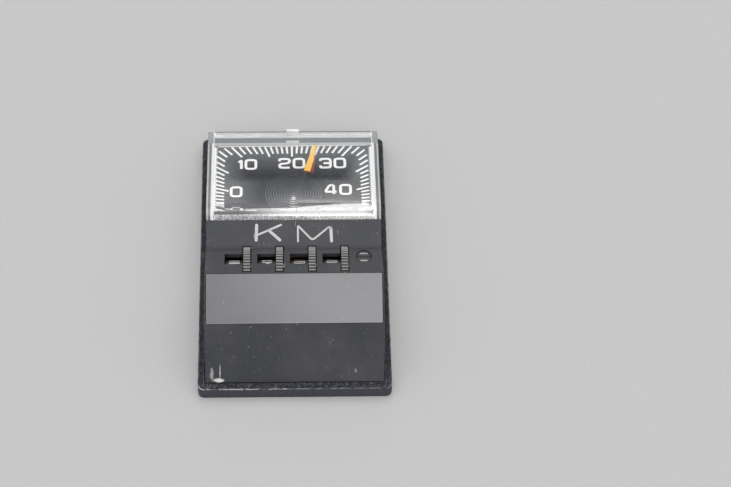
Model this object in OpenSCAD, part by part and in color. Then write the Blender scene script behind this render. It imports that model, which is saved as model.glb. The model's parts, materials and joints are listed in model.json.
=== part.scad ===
// Dashboard dial thermometer with a hand-set row of distance wheels.
// X runs to the right, Y away from the reader and Z out of the mounting face.
// The origin is at the middle of the mounting face. Sizes are in millimetres.

/* [Base plate] */
// Thickness of the base plate at its rim
base_t = 3.6; // [3:0.1:5]
// Thickness of the tray floor
floor_t = 1.6; // [1.4:0.1:2]
// Width of the rim in front of the housing
near_rim = 1.75; // [1:0.05:4]
// Least width of the rim beside the housing
side_rim = 1; // [0.8:0.05:4]
// Width of the rim behind the housing
far_rim = 2.5; // [1:0.05:5]
// Corner radius of the base plate
base_corner_r = 1.5; // [0.5:0.1:3]
// Gap between the tray rim and the housing
tray_gap = 0.25; // [0.1:0.05:0.5]
// Thickness of the adhesive pads
pad_t = 0.6; // [0.4:0.05:0.8]
// Margin of bare base around the adhesive pads
pad_margin = 4; // [3:0.25:6]

/* [Housing] */
// Wall thickness of the housing
wall = 1.3; // [1:0.05:1.6]
// Depth of the leaning front
front_run = 8; // [5:0.25:12]
// Height of the crest above the wheel strip
crest_rise = 6.4; // [4:0.1:9]
// Depth of the slope that carries the name plate
slope_run = 18.8; // [14:0.2:26]
// Depth of the wheel strip
strip_run = 7.3; // [7:0.1:9]
// Wheel axle to the near edge of the strip
axle_in_strip = 4.2; // [3.6:0.1:4.6]
// Depth of the riser behind the strip
riser_run = 5.3; // [4:0.1:8]
// Height of the riser above the strip
riser_rise = 3.8; // [3:0.1:6]
// Flat land on top of the riser
riser_land = 0.3; // [0.2:0.05:1]
// Extra half width at the far edge of the name plate
waist_flare = 0.4; // [0:0.05:0.8]
// Half width that the front loses
front_taper = 0.15; // [0:0.05:0.5]
// Spread of the far skirt at its foot
far_skirt = 0.8; // [0:0.1:2]
// Thickness of the name plate
plate_t = 0.6; // [0.4:0.05:0.8]
// Margin of housing beside and above the name plate
plate_margin = 0.45; // [0.3:0.05:1.5]
// Gap around the name plate
plate_gap = 0.12; // [0.05:0.01:0.3]

/* [Window and dial] */
// Tilt of the dial away from the reader, in degrees
dial_tilt = 8.2; // [4:0.1:11]
// Height of the cover's top above the dial
cover_h = 4.5; // [4.4:0.1:6]
// Thickness of the cover's top
cover_t = 1.5; // [1.2:0.05:1.55]
// Thickness of the cover's walls behind the flutes
cover_wall = 1.2; // [1:0.05:2]
// Height of the cover above the riser at its near face
cover_proud = 2.02; // [1.5:0.02:2.4]
// Radius of the cover's near top edge
cover_edge_r = 3.3; // [2:0.1:3.4]
// Gap between the riser and the cover
cover_gap = 0.1; // [0.05:0.05:0.3]
// Depth of the flutes inside the walls
flute_d = 0.35; // [0.2:0.05:0.6]
// Pitch of the flutes
flute_pitch = 0.92; // [0.8:0.02:1.5]
// Radius of the field of rings under the cover's top
ring_field_r = 7.1; // [4:0.1:8]
// Pitch of the rings
ring_pitch = 0.55; // [0.5:0.05:1]
// Depth of the rings
ring_d = 0.16; // [0.1:0.02:0.3]
// Middle of the rings behind the pointer's axis
ring_back = 1; // [0:0.1:2]
// Width of the moulding nub behind the cover
nub_w = 3; // [2:0.1:5]
// Depth of the moulding nub
nub_d = 0.8; // [0.3:0.1:1.2]
// Thickness of the dial plate
dial_t = 1; // [0.8:0.05:1.2]
// Gap around the dial plate
dial_gap = 0.15; // [0.1:0.05:0.4]

/* [Pointer and movement] */
// Distance from the pointer's axis to its tip
pointer_r = 19; // [15:0.1:21]
// Pointer's axis behind the cover's near face
axis_near = 6.3; // [6.1:0.1:9]
// Gap between the pointer's tip and the side flutes
side_gap = 0.3; // [0.25:0.05:1]
// Gap between the pointer's tip and the far flutes
far_gap = 1.75; // [0.8:0.05:4]
// Angle of the pointer at rest, clockwise from the middle of the scale
rest_angle = 13.9; // [0:0.1:20]
// Sideways set of the flag from the pointer's axis
flag_set = 0.9; // [0:0.05:1]
// Distance from the pointer's axis to the flag's root
flag_root_r = 9.65; // [8:0.05:11]
// Width of the flag at its root
flag_root_w = 1.35; // [1:0.05:2]
// Width of the flag at its tip
flag_tip_w = 0.9; // [0.5:0.05:1]
// Length of the flag's turned-down side
flank_l = 5.2; // [3:0.1:7]
// Drop of the flag's turned-down side
flank_drop = 0.9; // [0.4:0.1:1.2]
// Thickness of the flag
flag_t = 0.25; // [0.2:0.05:0.35]
// Thickness of the black arm
arm_t = 0.3; // [0.25:0.05:0.4]
// Width of the black arm
arm_w = 1.2; // [0.8:0.05:1.3]
// Overlap of the arm below the flag
arm_lap = 1.6; // [1:0.1:3]
// Radius of the pointer's hub
hub_r = 1.4; // [1.2:0.05:1.8]
// Height of the pointer above the dial
pointer_z = 2; // [1.8:0.05:2.1]
// Radius of the arbor
arbor_r = 0.5; // [0.4:0.05:0.6]
// Radial running clearance of the arbor and of the wheels
running_fit = 0.04; // [0.02:0.01:0.08]
// Radius of the bushes' bodies
bush_r = 1.1; // [1:0.05:1.2]
// Radius of the bushes' flanges
flange_r = 1.8; // [1.6:0.05:2.2]
// Height of the bushes' flanges
flange_t = 0.35; // [0.25:0.05:0.45]
// Radius of the coil's outer turn
coil_r = 4.6; // [4:0.1:4.8]
// Height of the coil's strip
coil_h = 1.6; // [1.2:0.05:1.8]
// Thickness of the coil's strip
coil_t = 0.22; // [0.18:0.01:0.24]
// Pitch of the coil's turns
coil_pitch = 0.66; // [0.65:0.01:0.8]
// Gap around the coil
coil_gap = 0.15; // [0.1:0.05:0.3]
// Radius of the anchor post
anchor_r = 0.5; // [0.4:0.05:0.6]
// Radius of the well in the deck
well_r = 5.8; // [5.7:0.05:6]
// Thickness of the bridge
bridge_t = 0.8; // [0.6:0.05:1]
// Width of the bridge
bridge_w = 4; // [3.8:0.1:5]
// Length of each foot of the bridge
bridge_foot = 2.6; // [2.5:0.1:3.2]

/* [Distance wheels] */
// Radius of a wheel's knurled rim
wheel_r = 4.8; // [4.4:0.05:5.5]
// Width of the knurled rim
rim_w = 1.75; // [1.4:0.05:2]
// Height of the rims above the strip
wheel_proud = 1.5; // [1.2:0.05:1.8]
// Teeth of the knurl
knurl_teeth = 40; // [20:10:40]
// Depth of the knurl
knurl_d = 0.22; // [0.1:0.02:0.3]
// Radius of the figure drum
drum_r = 1.55; // [1.4:0.05:1.8]
// Distance from wheel to wheel
wheel_pitch = 7.75; // [7.2:0.05:8]
// Thickness of the webs between the wheels
web_t = 1.4; // [1.2:0.05:1.8]
// Half depth of the webs
web_half = 2.6; // [2:0.1:3]
// Side gap of a wheel between its webs
wheel_side_gap = 0.18; // [0.1:0.02:0.3]
// Gap between a rim and the housing or the base
wheel_gap = 0.25; // [0.2:0.05:0.35]
// Base plate left below the wheels
sink_floor = 0.9; // [0.7:0.05:1]
// Depth of the figure windows
window_d = 2.9; // [2:0.1:3]
// Radius of the wheel axle
axle_r = 0.75; // [0.6:0.05:0.85]
// Shift of the whole row to the right
row_shift = 0.26; // [0:0.02:0.6]
// Least gap between the row and the housing walls
row_margin = 0.4; // [0.3:0.05:1]
// Thickness of the brake spring
spring_t = 0.25; // [0.2:0.05:0.3]
// Width of the brake spring's fingers
finger_w = 2; // [1.5:0.1:2.5]
// Depth of the brake spring's foot
spring_foot = 2.6; // [2.4:0.1:3]
// Gap between the fingers and the drums
finger_gap = 0.15; // [0.1:0.05:0.3]
// Head radius of the brake spring's rivets
rivet_head_r = 1; // [0.9:0.05:1.15]
// Shank radius of the brake spring's rivets
rivet_r = 0.55; // [0.45:0.05:0.65]

/* [Screws] */
// Head radius of the housing screw
screw_head_r = 1.75; // [1.5:0.05:1.85]
// Head height of the housing screw
screw_head_h = 0.6; // [0.5:0.05:0.7]
// Shank radius of the housing screw
screw_r = 0.9; // [0.7:0.05:1]
// Shank length of the housing screw
screw_l = 5; // [3:0.1:5.5]
// Width of the screw slots
slot_w = 0.7; // [0.4:0.05:0.9]
// Housing screw behind the wheel axle
screw_back = 0.45; // [0:0.05:1]
// Depth of the housing screw's head below the strip
screw_sunk = 0.15; // [0.05:0.05:0.2]
// Radius of the screw boss on the base plate
boss_r = 1.8; // [1.6:0.05:2.2]
// Gap between the axle's end and the boss
boss_gap = 0.3; // [0.2:0.02:0.6]
// Head radius of the bridge screws
small_head_r = 1.05; // [0.9:0.05:1.2]
// Shank radius of the bridge screws
small_r = 0.5; // [0.4:0.05:0.6]
// Clearance around screw shanks, pegs and posts
fit_gap = 0.03; // [0.02:0.01:0.06]

/* [Hidden] */
$fn = 64;
wheel_count = 4;
// Reach of cutting solids past what they cut
over = 1;
// Reach of slabs that stand for half spaces
far_reach = 200;

black_plastic = [0.05, 0.05, 0.055];
satin_grey = [0.36, 0.36, 0.37];
clear_plastic = [0.85, 0.9, 0.9, 0.3];
dial_black = [0.07, 0.07, 0.08];
signal_orange = [1, 0.42, 0.1];
steel = [0.6, 0.6, 0.62];
brass = [0.75, 0.6, 0.3];
pad_white = [0.85, 0.85, 0.82];

// Row of wheels, from left to right
row_w = wheel_count * wheel_pitch + web_t + boss_gap + 2 * boss_r;
row_left = row_shift - row_w / 2;
drum_w = wheel_pitch - web_t - 2 * wheel_side_gap - rim_w;
screw_x = row_left + row_w - boss_r;
function web_x(k) = row_left + k * wheel_pitch;
function wheel_x(k) = web_x(k) + web_t + wheel_side_gap;

// Widths
flute_crest_half = pointer_r + side_gap;
dial_based_half = flute_crest_half + flute_d + cover_wall;
row_based_half = row_w / 2 + row_shift + row_margin + wall;
window_half = max(dial_based_half, row_based_half);
crest_half = window_half - cover_wall - flute_d;
waist_half = window_half + waist_flare;
front_half = window_half - front_taper;
inner_half = front_half - wall;
base_w = 2 * (waist_half + tray_gap + side_rim);

// Heights
strip_z = sink_floor + wheel_gap + 2 * wheel_r - wheel_proud;
axle_z = strip_z + wheel_proud - wheel_r;
crest_z = strip_z + crest_rise;
riser_z = strip_z + riser_rise;

// Places along Y, counted from the near edge of the base plate
foot_y = near_rim + tray_gap;
crest_y = foot_y + front_run;
slope_y = crest_y + slope_run;
strip_y = slope_y + strip_run;
axle_y = slope_y + axle_in_strip;
riser_y = strip_y + riser_run;
back_y = riser_y + riser_land;
cover_y = back_y + cover_gap;
cover_l = axis_near + pointer_r + far_gap + flute_d + cover_wall;
far_y = cover_y + cover_l;
skirt_y = far_y + far_skirt;
base_l = skirt_y + tray_gap + far_rim;
axis_y = cover_y + axis_near;

// Heights of the tilted planes above a place along Y
function cover_top_z(y) = riser_z + cover_proud - (y - cover_y) * tan(dial_tilt);
function dial_z(y) = cover_top_z(y) - cover_h / cos(dial_tilt);
function deck_z(y) = dial_z(y) - dial_t / cos(dial_tilt);

// Levels along the pointer's axis, counted from the dial's face
deck_top = -dial_t;
deck_low = deck_top - wall;
coil_top = -dial_t - 2 * coil_gap - flange_t;
coil_low = coil_top - coil_h;
bridge_top = coil_low - coil_gap - flange_t;
bridge_low = bridge_top - bridge_t;
arbor_low = bridge_low - flange_t;
arm_top = pointer_z + arm_t;
flag_top = arm_top + flag_t;
bridge_half = well_r + bridge_foot;
bridge_screw_x = well_r + bridge_foot / 2;
small_head_h = bridge_t * 0.75;

// A line shifted to the right of its travel, as a point and a direction
function shifted_edge(a, b, d) = let(u = (b - a) / norm(b - a)) [a + d * [u[1], -u[0]], u];
function cross_2d(a, b) = a[0] * b[1] - a[1] * b[0];
function meeting_point(e, f) = e[0] + e[1] * cross_2d(f[0] - e[0], f[1]) / cross_2d(e[1], f[1]);

// Inner corners of an open path, shifted to the right of its travel
function shifted_path(path, d) = let(
    n = len(path),
    edges = [for (i = [0 : n - 2]) shifted_edge(path[i], path[i + 1], d)],
    last = edges[n - 2]
) concat(
    [edges[0][0]],
    [for (i = [0 : n - 3]) meeting_point(edges[i], edges[i + 1])],
    [last[0] + last[1] * norm(path[n - 1] - path[n - 2])]
);

// Side view of the housing, from the near foot over the top to the far foot
housing_path = [
    [foot_y, floor_t], [foot_y, base_t], [crest_y, crest_z], [slope_y, strip_z], [strip_y, strip_z],
    [riser_y, riser_z], [back_y, riser_z], [back_y, deck_z(back_y)], [far_y, deck_z(far_y)],
    [skirt_y, base_t], [skirt_y, floor_t]
];
// Side view of its hollow, whose inner path leaves out the riser's narrow land
hollow_path = shifted_path([
    [foot_y, floor_t], [foot_y, base_t], [crest_y, crest_z], [slope_y, strip_z], [strip_y, strip_z],
    [back_y, strip_z + riser_rise], [back_y, deck_z(back_y)], [far_y, deck_z(far_y)],
    [skirt_y, base_t], [skirt_y, floor_t]
], wall);

slope_angle = atan2(crest_z - strip_z, slope_run);
slope_l = norm([slope_run, crest_z - strip_z]);

// Puts what is measured from the near edge of the base plate into the part's frame
module from_near_edge() {
    translate([0, -base_l / 2, 0]) children();
}

// Puts what is measured from the pointer's axis on the dial's face into the part's frame
module on_dial() {
    from_near_edge() translate([0, axis_y, dial_z(axis_y)]) rotate([-dial_tilt, 0, 0]) children();
}

// Puts what is measured from the crest, down the slope, into the part's frame
module on_slope() {
    from_near_edge() translate([0, crest_y, crest_z]) rotate([-slope_angle, 0, 0]) children();
}

// Stretches a side view, given as Y and Z, along X from the middle
module side_solid(points, width) {
    rotate([90, 0, 90]) linear_extrude(width, center = true) polygon(points);
}

// A cylinder along X that starts at x
module cross_rod(x, length, r) {
    translate([x, 0, 0]) rotate([0, 90, 0]) cylinder(h = length, r = r);
}

// A tilted slab between two levels above the dial's face
module dial_slab(low, high) {
    on_dial() translate([-far_reach / 2, -far_reach / 2, low]) cube([far_reach, far_reach, high - low]);
}

// Outline of the housing seen from above, grown by a gap
module housing_outline(gap) {
    right = [
        [front_half + gap, foot_y - gap], [front_half + gap, crest_y], [waist_half + gap, slope_y],
        [window_half + gap, strip_y], [window_half + gap, skirt_y + gap]
    ];
    left = [for (i = [len(right) - 1 : -1 : 0]) [-right[i][0], right[i][1]]];
    polygon(concat(right, left));
}

// Block with rounded upright edges, standing on z = 0 and centred in X
module rounded_block(width, length, height, r) {
    translate([-width / 2, r, 0]) cube([width, length - 2 * r, height]);
    translate([-width / 2 + r, 0, 0]) cube([width - 2 * r, length, height]);
    for (x = [-1, 1], y = [r, length - r]) {
        translate([x * (width / 2 - r), y, 0]) cylinder(h = height, r = r);
    }
}

// Places of the two adhesive pads along Y, as start and length
near_pad = [pad_margin, axle_y - wheel_r - 2 * pad_margin];
far_pad = [axle_y + wheel_r + pad_margin, base_l - axle_y - wheel_r - 2 * pad_margin];
pad_w = base_w - 2 * pad_margin;

// Shape of the adhesive pads, shared with their recesses
module pad_blocks() {
    for (pad = [near_pad, far_pad]) {
        translate([0, pad[0], 0]) rounded_block(pad_w, pad[1], pad_t, base_corner_r);
    }
}

// Places of the brake spring's rivets, between the fingers
spring_y = axle_y + wheel_r + wheel_gap;
rivet_y = spring_y + spring_foot / 2;
rivet_xs = [web_x(1) + web_t / 2, web_x(wheel_count - 1) + web_t / 2];
rivet_low = pad_t + wheel_gap;

module base_plate() {
    color(black_plastic) from_near_edge() difference() {
        union() {
            difference() {
                rounded_block(base_w, base_l, base_t, base_corner_r);
                translate([0, 0, floor_t]) linear_extrude(base_t) housing_outline(tray_gap);
            }
            translate([screw_x, axle_y + screw_back, floor_t / 2])
                cylinder(h = strip_z - wall - floor_t / 2, r = boss_r);
        }
        translate([web_x(0), axle_y - wheel_r - wheel_gap, sink_floor])
            cube([wheel_count * wheel_pitch + web_t, 2 * (wheel_r + wheel_gap), floor_t]);
        translate([screw_x, axle_y + screw_back, strip_z - screw_sunk - screw_head_h - screw_l - fit_gap])
            cylinder(h = far_reach, r = screw_r + fit_gap);
        for (x = rivet_xs) {
            translate([x, rivet_y, rivet_low - fit_gap]) cylinder(h = floor_t, r = rivet_r + fit_gap);
        }
        pad_blocks();
    }
}

module mounting_pads() {
    color(pad_white) from_near_edge() pad_blocks();
}

// Trapezoid of the name plate, grown by a gap, from the crest down the slope
module name_plate_outline(gap) {
    near_half = front_half - plate_margin + gap;
    far_half = waist_half - plate_margin + gap;
    polygon([
        [near_half, plate_margin - gap], [far_half, slope_l - plate_gap + gap],
        [-far_half, slope_l - plate_gap + gap], [-near_half, plate_margin - gap]
    ]);
}

// Room of one wheel: the slot of its rim and the window of its drum
module wheel_opening(k) {
    rim_x = wheel_x(k) + drum_w;
    translate([0, axle_y, axle_z])
        cross_rod(rim_x - wheel_side_gap, rim_w + 2 * wheel_side_gap, wheel_r + wheel_gap);
    translate([wheel_x(k) - wheel_side_gap, axle_y - window_d / 2, strip_z - wall - over])
        cube([drum_w + wheel_side_gap, window_d, wall + 2 * over]);
}

// Web that parts two wheels and carries the axle in a slot open from below
module axle_web(k) {
    web_low = axle_z - 2 * axle_r;
    translate([web_x(k), axle_y, 0]) difference() {
        translate([0, -web_half, web_low]) cube([web_t, 2 * web_half, strip_z - wall / 2 - web_low]);
        translate([-over, -axle_r - fit_gap, web_low - over])
            cube([web_t + 2 * over, 2 * (axle_r + fit_gap), axle_z - web_low + over]);
        translate([0, 0, axle_z]) cross_rod(-over, web_t + 2 * over, axle_r + fit_gap);
    }
}

module housing_shell() {
    color(black_plastic) union() {
        difference() {
            intersection() {
                from_near_edge() side_solid(housing_path, far_reach);
                from_near_edge() linear_extrude(far_reach) housing_outline(0);
            }
            from_near_edge() side_solid(
                concat(
                    [[hollow_path[0][0], floor_t - over]], hollow_path,
                    [[hollow_path[len(hollow_path) - 1][0], floor_t - over]]
                ), 2 * inner_half
            );
            on_slope() translate([0, 0, -plate_t]) linear_extrude(plate_t + over)
                name_plate_outline(plate_gap);
            from_near_edge() for (k = [0 : wheel_count - 1]) {
                wheel_opening(k);
            }
            on_dial() translate([0, 0, deck_low - over]) cylinder(h = wall + 2 * over, r = well_r);
            on_dial() for (x = [-1, 1]) {
                translate([x * bridge_screw_x, 0, deck_low - over])
                    cylinder(h = wall + 2 * over, r = small_r + fit_gap);
            }
            from_near_edge() translate([screw_x, axle_y + screw_back, 0]) {
                cylinder(h = far_reach, r = screw_r + fit_gap);
                translate([0, 0, strip_z - screw_sunk - screw_head_h])
                    cylinder(h = far_reach, r = screw_head_r + plate_gap);
            }
        }
        from_near_edge() for (k = [0 : wheel_count]) {
            axle_web(k);
        }
    }
}

module name_plate() {
    color(satin_grey) on_slope() translate([0, 0, -plate_t]) linear_extrude(plate_t) name_plate_outline(0);
}

// Corners of one fluted wall, from its start to just before its end; roots lie to the right of travel
function flutes(a, b) = let(
    run = b - a,
    count = max(2, round(norm(run) / flute_pitch)),
    u = run / norm(run)
) [for (i = [0 : 2 * count - 1]) a + run * i / (2 * count) + flute_d * (i % 2) * [u[1], -u[0]]];

// Inside of the cover seen from above, with its fluted walls
module fluted_inside() {
    y0 = cover_y + cover_wall + flute_d;
    y1 = far_y - cover_wall - flute_d;
    a = [-crest_half, y0];
    b = [crest_half, y0];
    c = [crest_half, y1];
    d = [-crest_half, y1];
    polygon(concat(flutes(a, b), flutes(b, c), flutes(c, d), flutes(d, a)));
}

// What the round near edge takes off the cover's square edge
module cover_edge_cut() {
    centre = [cover_y + cover_edge_r, cover_top_z(cover_y + cover_edge_r) - cover_edge_r / cos(dial_tilt)];
    normal = [sin(dial_tilt), cos(dial_tilt)];
    touch = centre + cover_edge_r * normal;
    above = touch + over * normal;
    difference() {
        side_solid([
            [cover_y - over, centre[1]], centre, touch, above, [cover_y - over, above[1] + over]
        ], far_reach);
        translate([0, centre[0], centre[1]]) cross_rod(-far_reach, 2 * far_reach, cover_edge_r);
    }
}

// Concentric grooves below the cover's top, cut upwards
module ring_grooves() {
    rings = floor(ring_field_r / ring_pitch);
    on_dial() translate([0, ring_back, cover_h - cover_t]) rotate_extrude() for (i = [1 : rings]) {
        polygon([
            [(i - 1) * ring_pitch + ring_pitch / 4, -ring_d],
            [(i - 0.5) * ring_pitch, ring_d],
            [i * ring_pitch - ring_pitch / 4, -ring_d]
        ]);
    }
}

module window_cover() {
    color(clear_plastic) difference() {
        intersection() {
            from_near_edge() union() {
                translate([-window_half, cover_y, 0]) cube([2 * window_half, cover_l, far_reach]);
                translate([-nub_w / 2, far_y - over, dial_z(far_y) + cover_h / 2])
                    cube([nub_w, over + nub_d, far_reach]);
            }
            dial_slab(deck_top, cover_h);
        }
        intersection() {
            from_near_edge() linear_extrude(far_reach) fluted_inside();
            dial_slab(deck_top - over, cover_h - cover_t);
        }
        from_near_edge() cover_edge_cut();
        intersection() {
            ring_grooves();
            from_near_edge() linear_extrude(far_reach) fluted_inside();
        }
    }
}

module dial_plate() {
    near = cover_y + cover_wall + flute_d + dial_gap;
    far = far_y - cover_wall - flute_d - dial_gap;
    half = crest_half - dial_gap;
    color(dial_black) difference() {
        intersection() {
            from_near_edge() translate([-half, near, 0]) cube([2 * half, far - near, far_reach]);
            dial_slab(deck_top, 0);
        }
        on_dial() translate([0, 0, deck_top - over]) cylinder(h = dial_t + 2 * over, r = bush_r + fit_gap);
    }
}

module movement_bridge() {
    foot_x = well_r;
    color(brass) on_dial() difference() {
        union() {
            translate([-bridge_half, -bridge_w / 2, bridge_low])
                cube([2 * bridge_half, bridge_w, bridge_t]);
            for (x = [-bridge_half, foot_x]) {
                translate([x, -bridge_w / 2, bridge_low])
                    cube([bridge_foot, bridge_w, deck_low - bridge_low]);
            }
        }
        translate([0, 0, bridge_low - over]) cylinder(h = bridge_t + 2 * over, r = bush_r + fit_gap);
        for (x = [-1, 1]) {
            translate([x * bridge_screw_x, 0, bridge_low - over])
                cylinder(h = deck_low - bridge_low + 2 * over, r = small_r + fit_gap);
        }
        translate([coil_r + anchor_r + fit_gap, 0, bridge_low - over])
            cylinder(h = bridge_t + 2 * over, r = anchor_r + fit_gap);
    }
}

// Slotted screw whose head's seat is at z = 0, with its shank upwards
module small_screw(shank_l) {
    difference() {
        translate([0, 0, -small_head_h]) cylinder(h = small_head_h, r = small_head_r);
        translate([-small_head_r, -slot_w / 4, -small_head_h - over])
            cube([2 * small_head_r, slot_w / 2, over + small_head_h / 2]);
    }
    cylinder(h = shank_l, r = small_r);
}

module bridge_screws() {
    color(steel) on_dial() for (x = [-1, 1]) {
        translate([x * bridge_screw_x, 0, bridge_low]) small_screw(deck_top - fit_gap - bridge_low);
    }
}

module upper_bush() {
    color(brass) on_dial() difference() {
        union() {
            cylinder(h = flange_t, r = flange_r);
            translate([0, 0, coil_top + coil_gap]) cylinder(h = -coil_top - coil_gap, r = bush_r);
        }
        translate([0, 0, coil_low]) cylinder(h = far_reach, r = arbor_r + running_fit);
    }
}

module lower_bush() {
    color(brass) on_dial() difference() {
        union() {
            translate([0, 0, bridge_top]) cylinder(h = flange_t, r = flange_r);
            translate([0, 0, bridge_low]) cylinder(h = bridge_t, r = bush_r);
        }
        translate([0, 0, bridge_low - over]) cylinder(h = far_reach, r = arbor_r + running_fit);
    }
}

// Spiral of the coil, given by its turns from the outer end inwards
coil_inner_r = bush_r + coil_gap;
coil_turns = (coil_r - coil_t - coil_inner_r) / coil_pitch;
coil_steps = ceil(coil_turns * 24);
function coil_point(i, side) = let(
    turn = coil_turns * i / coil_steps,
    r = coil_r - coil_t / 2 - coil_pitch * turn + side * coil_t / 2
) r * [cos(360 * turn), sin(360 * turn)];

module bimetal_coil() {
    outer = [for (i = [0 : coil_steps]) coil_point(i, 1)];
    inner = [for (i = [coil_steps : -1 : 0]) coil_point(i, -1)];
    color(brass) on_dial() translate([0, 0, coil_low]) linear_extrude(coil_h) polygon(concat(outer, inner));
}

module coil_anchor() {
    color(steel) on_dial() translate([coil_r + anchor_r + fit_gap, 0, bridge_low])
        cylinder(h = coil_top - bridge_low, r = anchor_r);
}

// Turns the pointer's own pieces to their place at rest
module pointer_frame() {
    on_dial() rotate([0, 0, -rest_angle]) children();
}

module pointer_arbor() {
    color(steel) pointer_frame() translate([0, 0, arbor_low])
        cylinder(h = arm_top - arbor_low, r = arbor_r);
}

module coil_collet() {
    color(brass) pointer_frame() translate([0, 0, coil_low]) difference() {
        cylinder(h = coil_h, r = bush_r);
        translate([0, 0, -over]) cylinder(h = coil_h + 2 * over, r = arbor_r);
    }
}

module pointer_arm() {
    tail_r = 2 * hub_r;
    lap_r = flag_root_r + arm_lap;
    color(dial_black) pointer_frame() difference() {
        union() {
            translate([0, 0, flange_t + coil_gap]) cylinder(h = arm_top - flange_t - coil_gap, r = hub_r);
            translate([0, 0, pointer_z]) linear_extrude(arm_t) polygon([
                [-arm_w / 2, -tail_r], [arm_w / 2, -tail_r], [arm_w / 2, hub_r],
                [flag_set + flag_tip_w / 2, flag_root_r], [flag_set + flag_tip_w / 2, lap_r],
                [flag_set - flag_tip_w / 2, lap_r], [flag_set - flag_tip_w / 2, flag_root_r],
                [-arm_w / 2, hub_r]
            ]);
        }
        cylinder(h = far_reach, r = arbor_r);
    }
}

module pointer_flag() {
    right_root = flag_set + flag_root_w / 2;
    right_tip = flag_set + flag_tip_w / 2;
    flank_end = right_root + (right_tip - right_root) * flank_l / (pointer_r - flag_root_r);
    color(signal_orange) pointer_frame() union() {
        translate([0, 0, arm_top]) linear_extrude(flag_t) polygon([
            [flag_set - flag_root_w / 2, flag_root_r], [right_root + flag_t, flag_root_r],
            [flank_end + flag_t, flag_root_r + flank_l], [flank_end, flag_root_r + flank_l],
            [right_tip, pointer_r], [flag_set - flag_tip_w / 2, pointer_r]
        ]);
        translate([0, 0, flag_top - flank_drop]) linear_extrude(flank_drop) polygon([
            [right_root, flag_root_r], [right_root + flag_t, flag_root_r],
            [flank_end + flag_t, flag_root_r + flank_l], [flank_end, flag_root_r + flank_l]
        ]);
    }
}

// One wheel: the knurled rim on the right, the figure drum on the left
module number_wheel(k) {
    root_r = wheel_r - knurl_d;
    color(black_plastic) from_near_edge() translate([wheel_x(k), axle_y, axle_z]) difference() {
        union() {
            cross_rod(0, drum_w + rim_w / 2, drum_r);
            translate([drum_w, 0, 0]) rotate([90, 0, 90]) linear_extrude(rim_w) polygon([
                for (i = [0 : 4 * knurl_teeth - 1])
                    let(r = (i % 4 < 2) ? wheel_r : root_r, a = 90 * (i - 0.5) / knurl_teeth)
                    r * [cos(a), sin(a)]
            ]);
        }
        cross_rod(-over, drum_w + rim_w + 2 * over, axle_r + running_fit);
    }
}

module number_wheel_1() {
    number_wheel(0);
}

module number_wheel_2() {
    number_wheel(1);
}

module number_wheel_3() {
    number_wheel(2);
}

module number_wheel_4() {
    number_wheel(3);
}

module wheel_axle() {
    color(steel) from_near_edge() translate([0, axle_y, axle_z])
        cross_rod(row_left, wheel_count * wheel_pitch + web_t, axle_r);
}

module brake_spring() {
    touch_z = axle_z - drum_r - finger_gap;
    finger_path = [
        [spring_y + spring_foot, floor_t + spring_t], [spring_y, floor_t + spring_t],
        [axle_y + drum_r, touch_z], [axle_y - drum_r, touch_z]
    ];
    lower_path = shifted_path(finger_path, -spring_t);
    section = concat(finger_path, [for (i = [len(lower_path) - 1 : -1 : 0]) lower_path[i]]);
    strip_w = wheel_count * wheel_pitch - web_t;
    color(brass) from_near_edge() difference() {
        union() {
            for (k = [0 : wheel_count - 1]) {
                translate([wheel_x(k) + drum_w / 2, 0, 0]) side_solid(section, finger_w);
            }
            translate([web_x(0) + web_t, spring_y, floor_t]) cube([strip_w, spring_foot, spring_t]);
        }
        for (x = rivet_xs) {
            translate([x, rivet_y, 0]) cylinder(h = far_reach, r = rivet_r + fit_gap);
        }
    }
}

module brake_rivets() {
    color(steel) from_near_edge() for (x = rivet_xs) {
        translate([x, rivet_y, rivet_low]) {
            cylinder(h = floor_t + spring_t - rivet_low + fit_gap, r = rivet_r);
            translate([0, 0, floor_t + spring_t - rivet_low]) cylinder(h = 2 * spring_t, r = rivet_head_r);
        }
    }
}

module housing_screw() {
    head_low = strip_z - screw_sunk - screw_head_h;
    color(steel) from_near_edge() translate([screw_x, axle_y + screw_back, head_low]) difference() {
        union() {
            cylinder(h = screw_head_h, r = screw_head_r);
            translate([0, 0, -screw_l]) cylinder(h = screw_l + screw_head_h / 2, r = screw_r);
        }
        translate([-screw_head_r, -slot_w / 2, screw_head_h / 2])
            cube([2 * screw_head_r, slot_w, screw_head_h]);
    }
}

base_plate();
mounting_pads();
housing_shell();
name_plate();
window_cover();
dial_plate();
movement_bridge();
bridge_screws();
upper_bush();
lower_bush();
bimetal_coil();
coil_anchor();
pointer_arbor();
coil_collet();
pointer_arm();
pointer_flag();
number_wheel_1();
number_wheel_2();
number_wheel_3();
number_wheel_4();
wheel_axle();
brake_spring();
brake_rivets();
housing_screw();
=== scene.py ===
"""Looks of a dashboard dial thermometer with a hand-set row of distance wheels.

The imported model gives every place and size. The operators below dress its nodes, print the dial, and set
the stage. All lengths are in metres, unless a comment or a docstring says millimetres.
"""

import json
import math

import bmesh
import bpy
from bpy.props import FloatProperty, FloatVectorProperty, IntProperty, PointerProperty
from mathutils import Matrix, Vector
from mathutils.bvhtree import BVHTree


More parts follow.
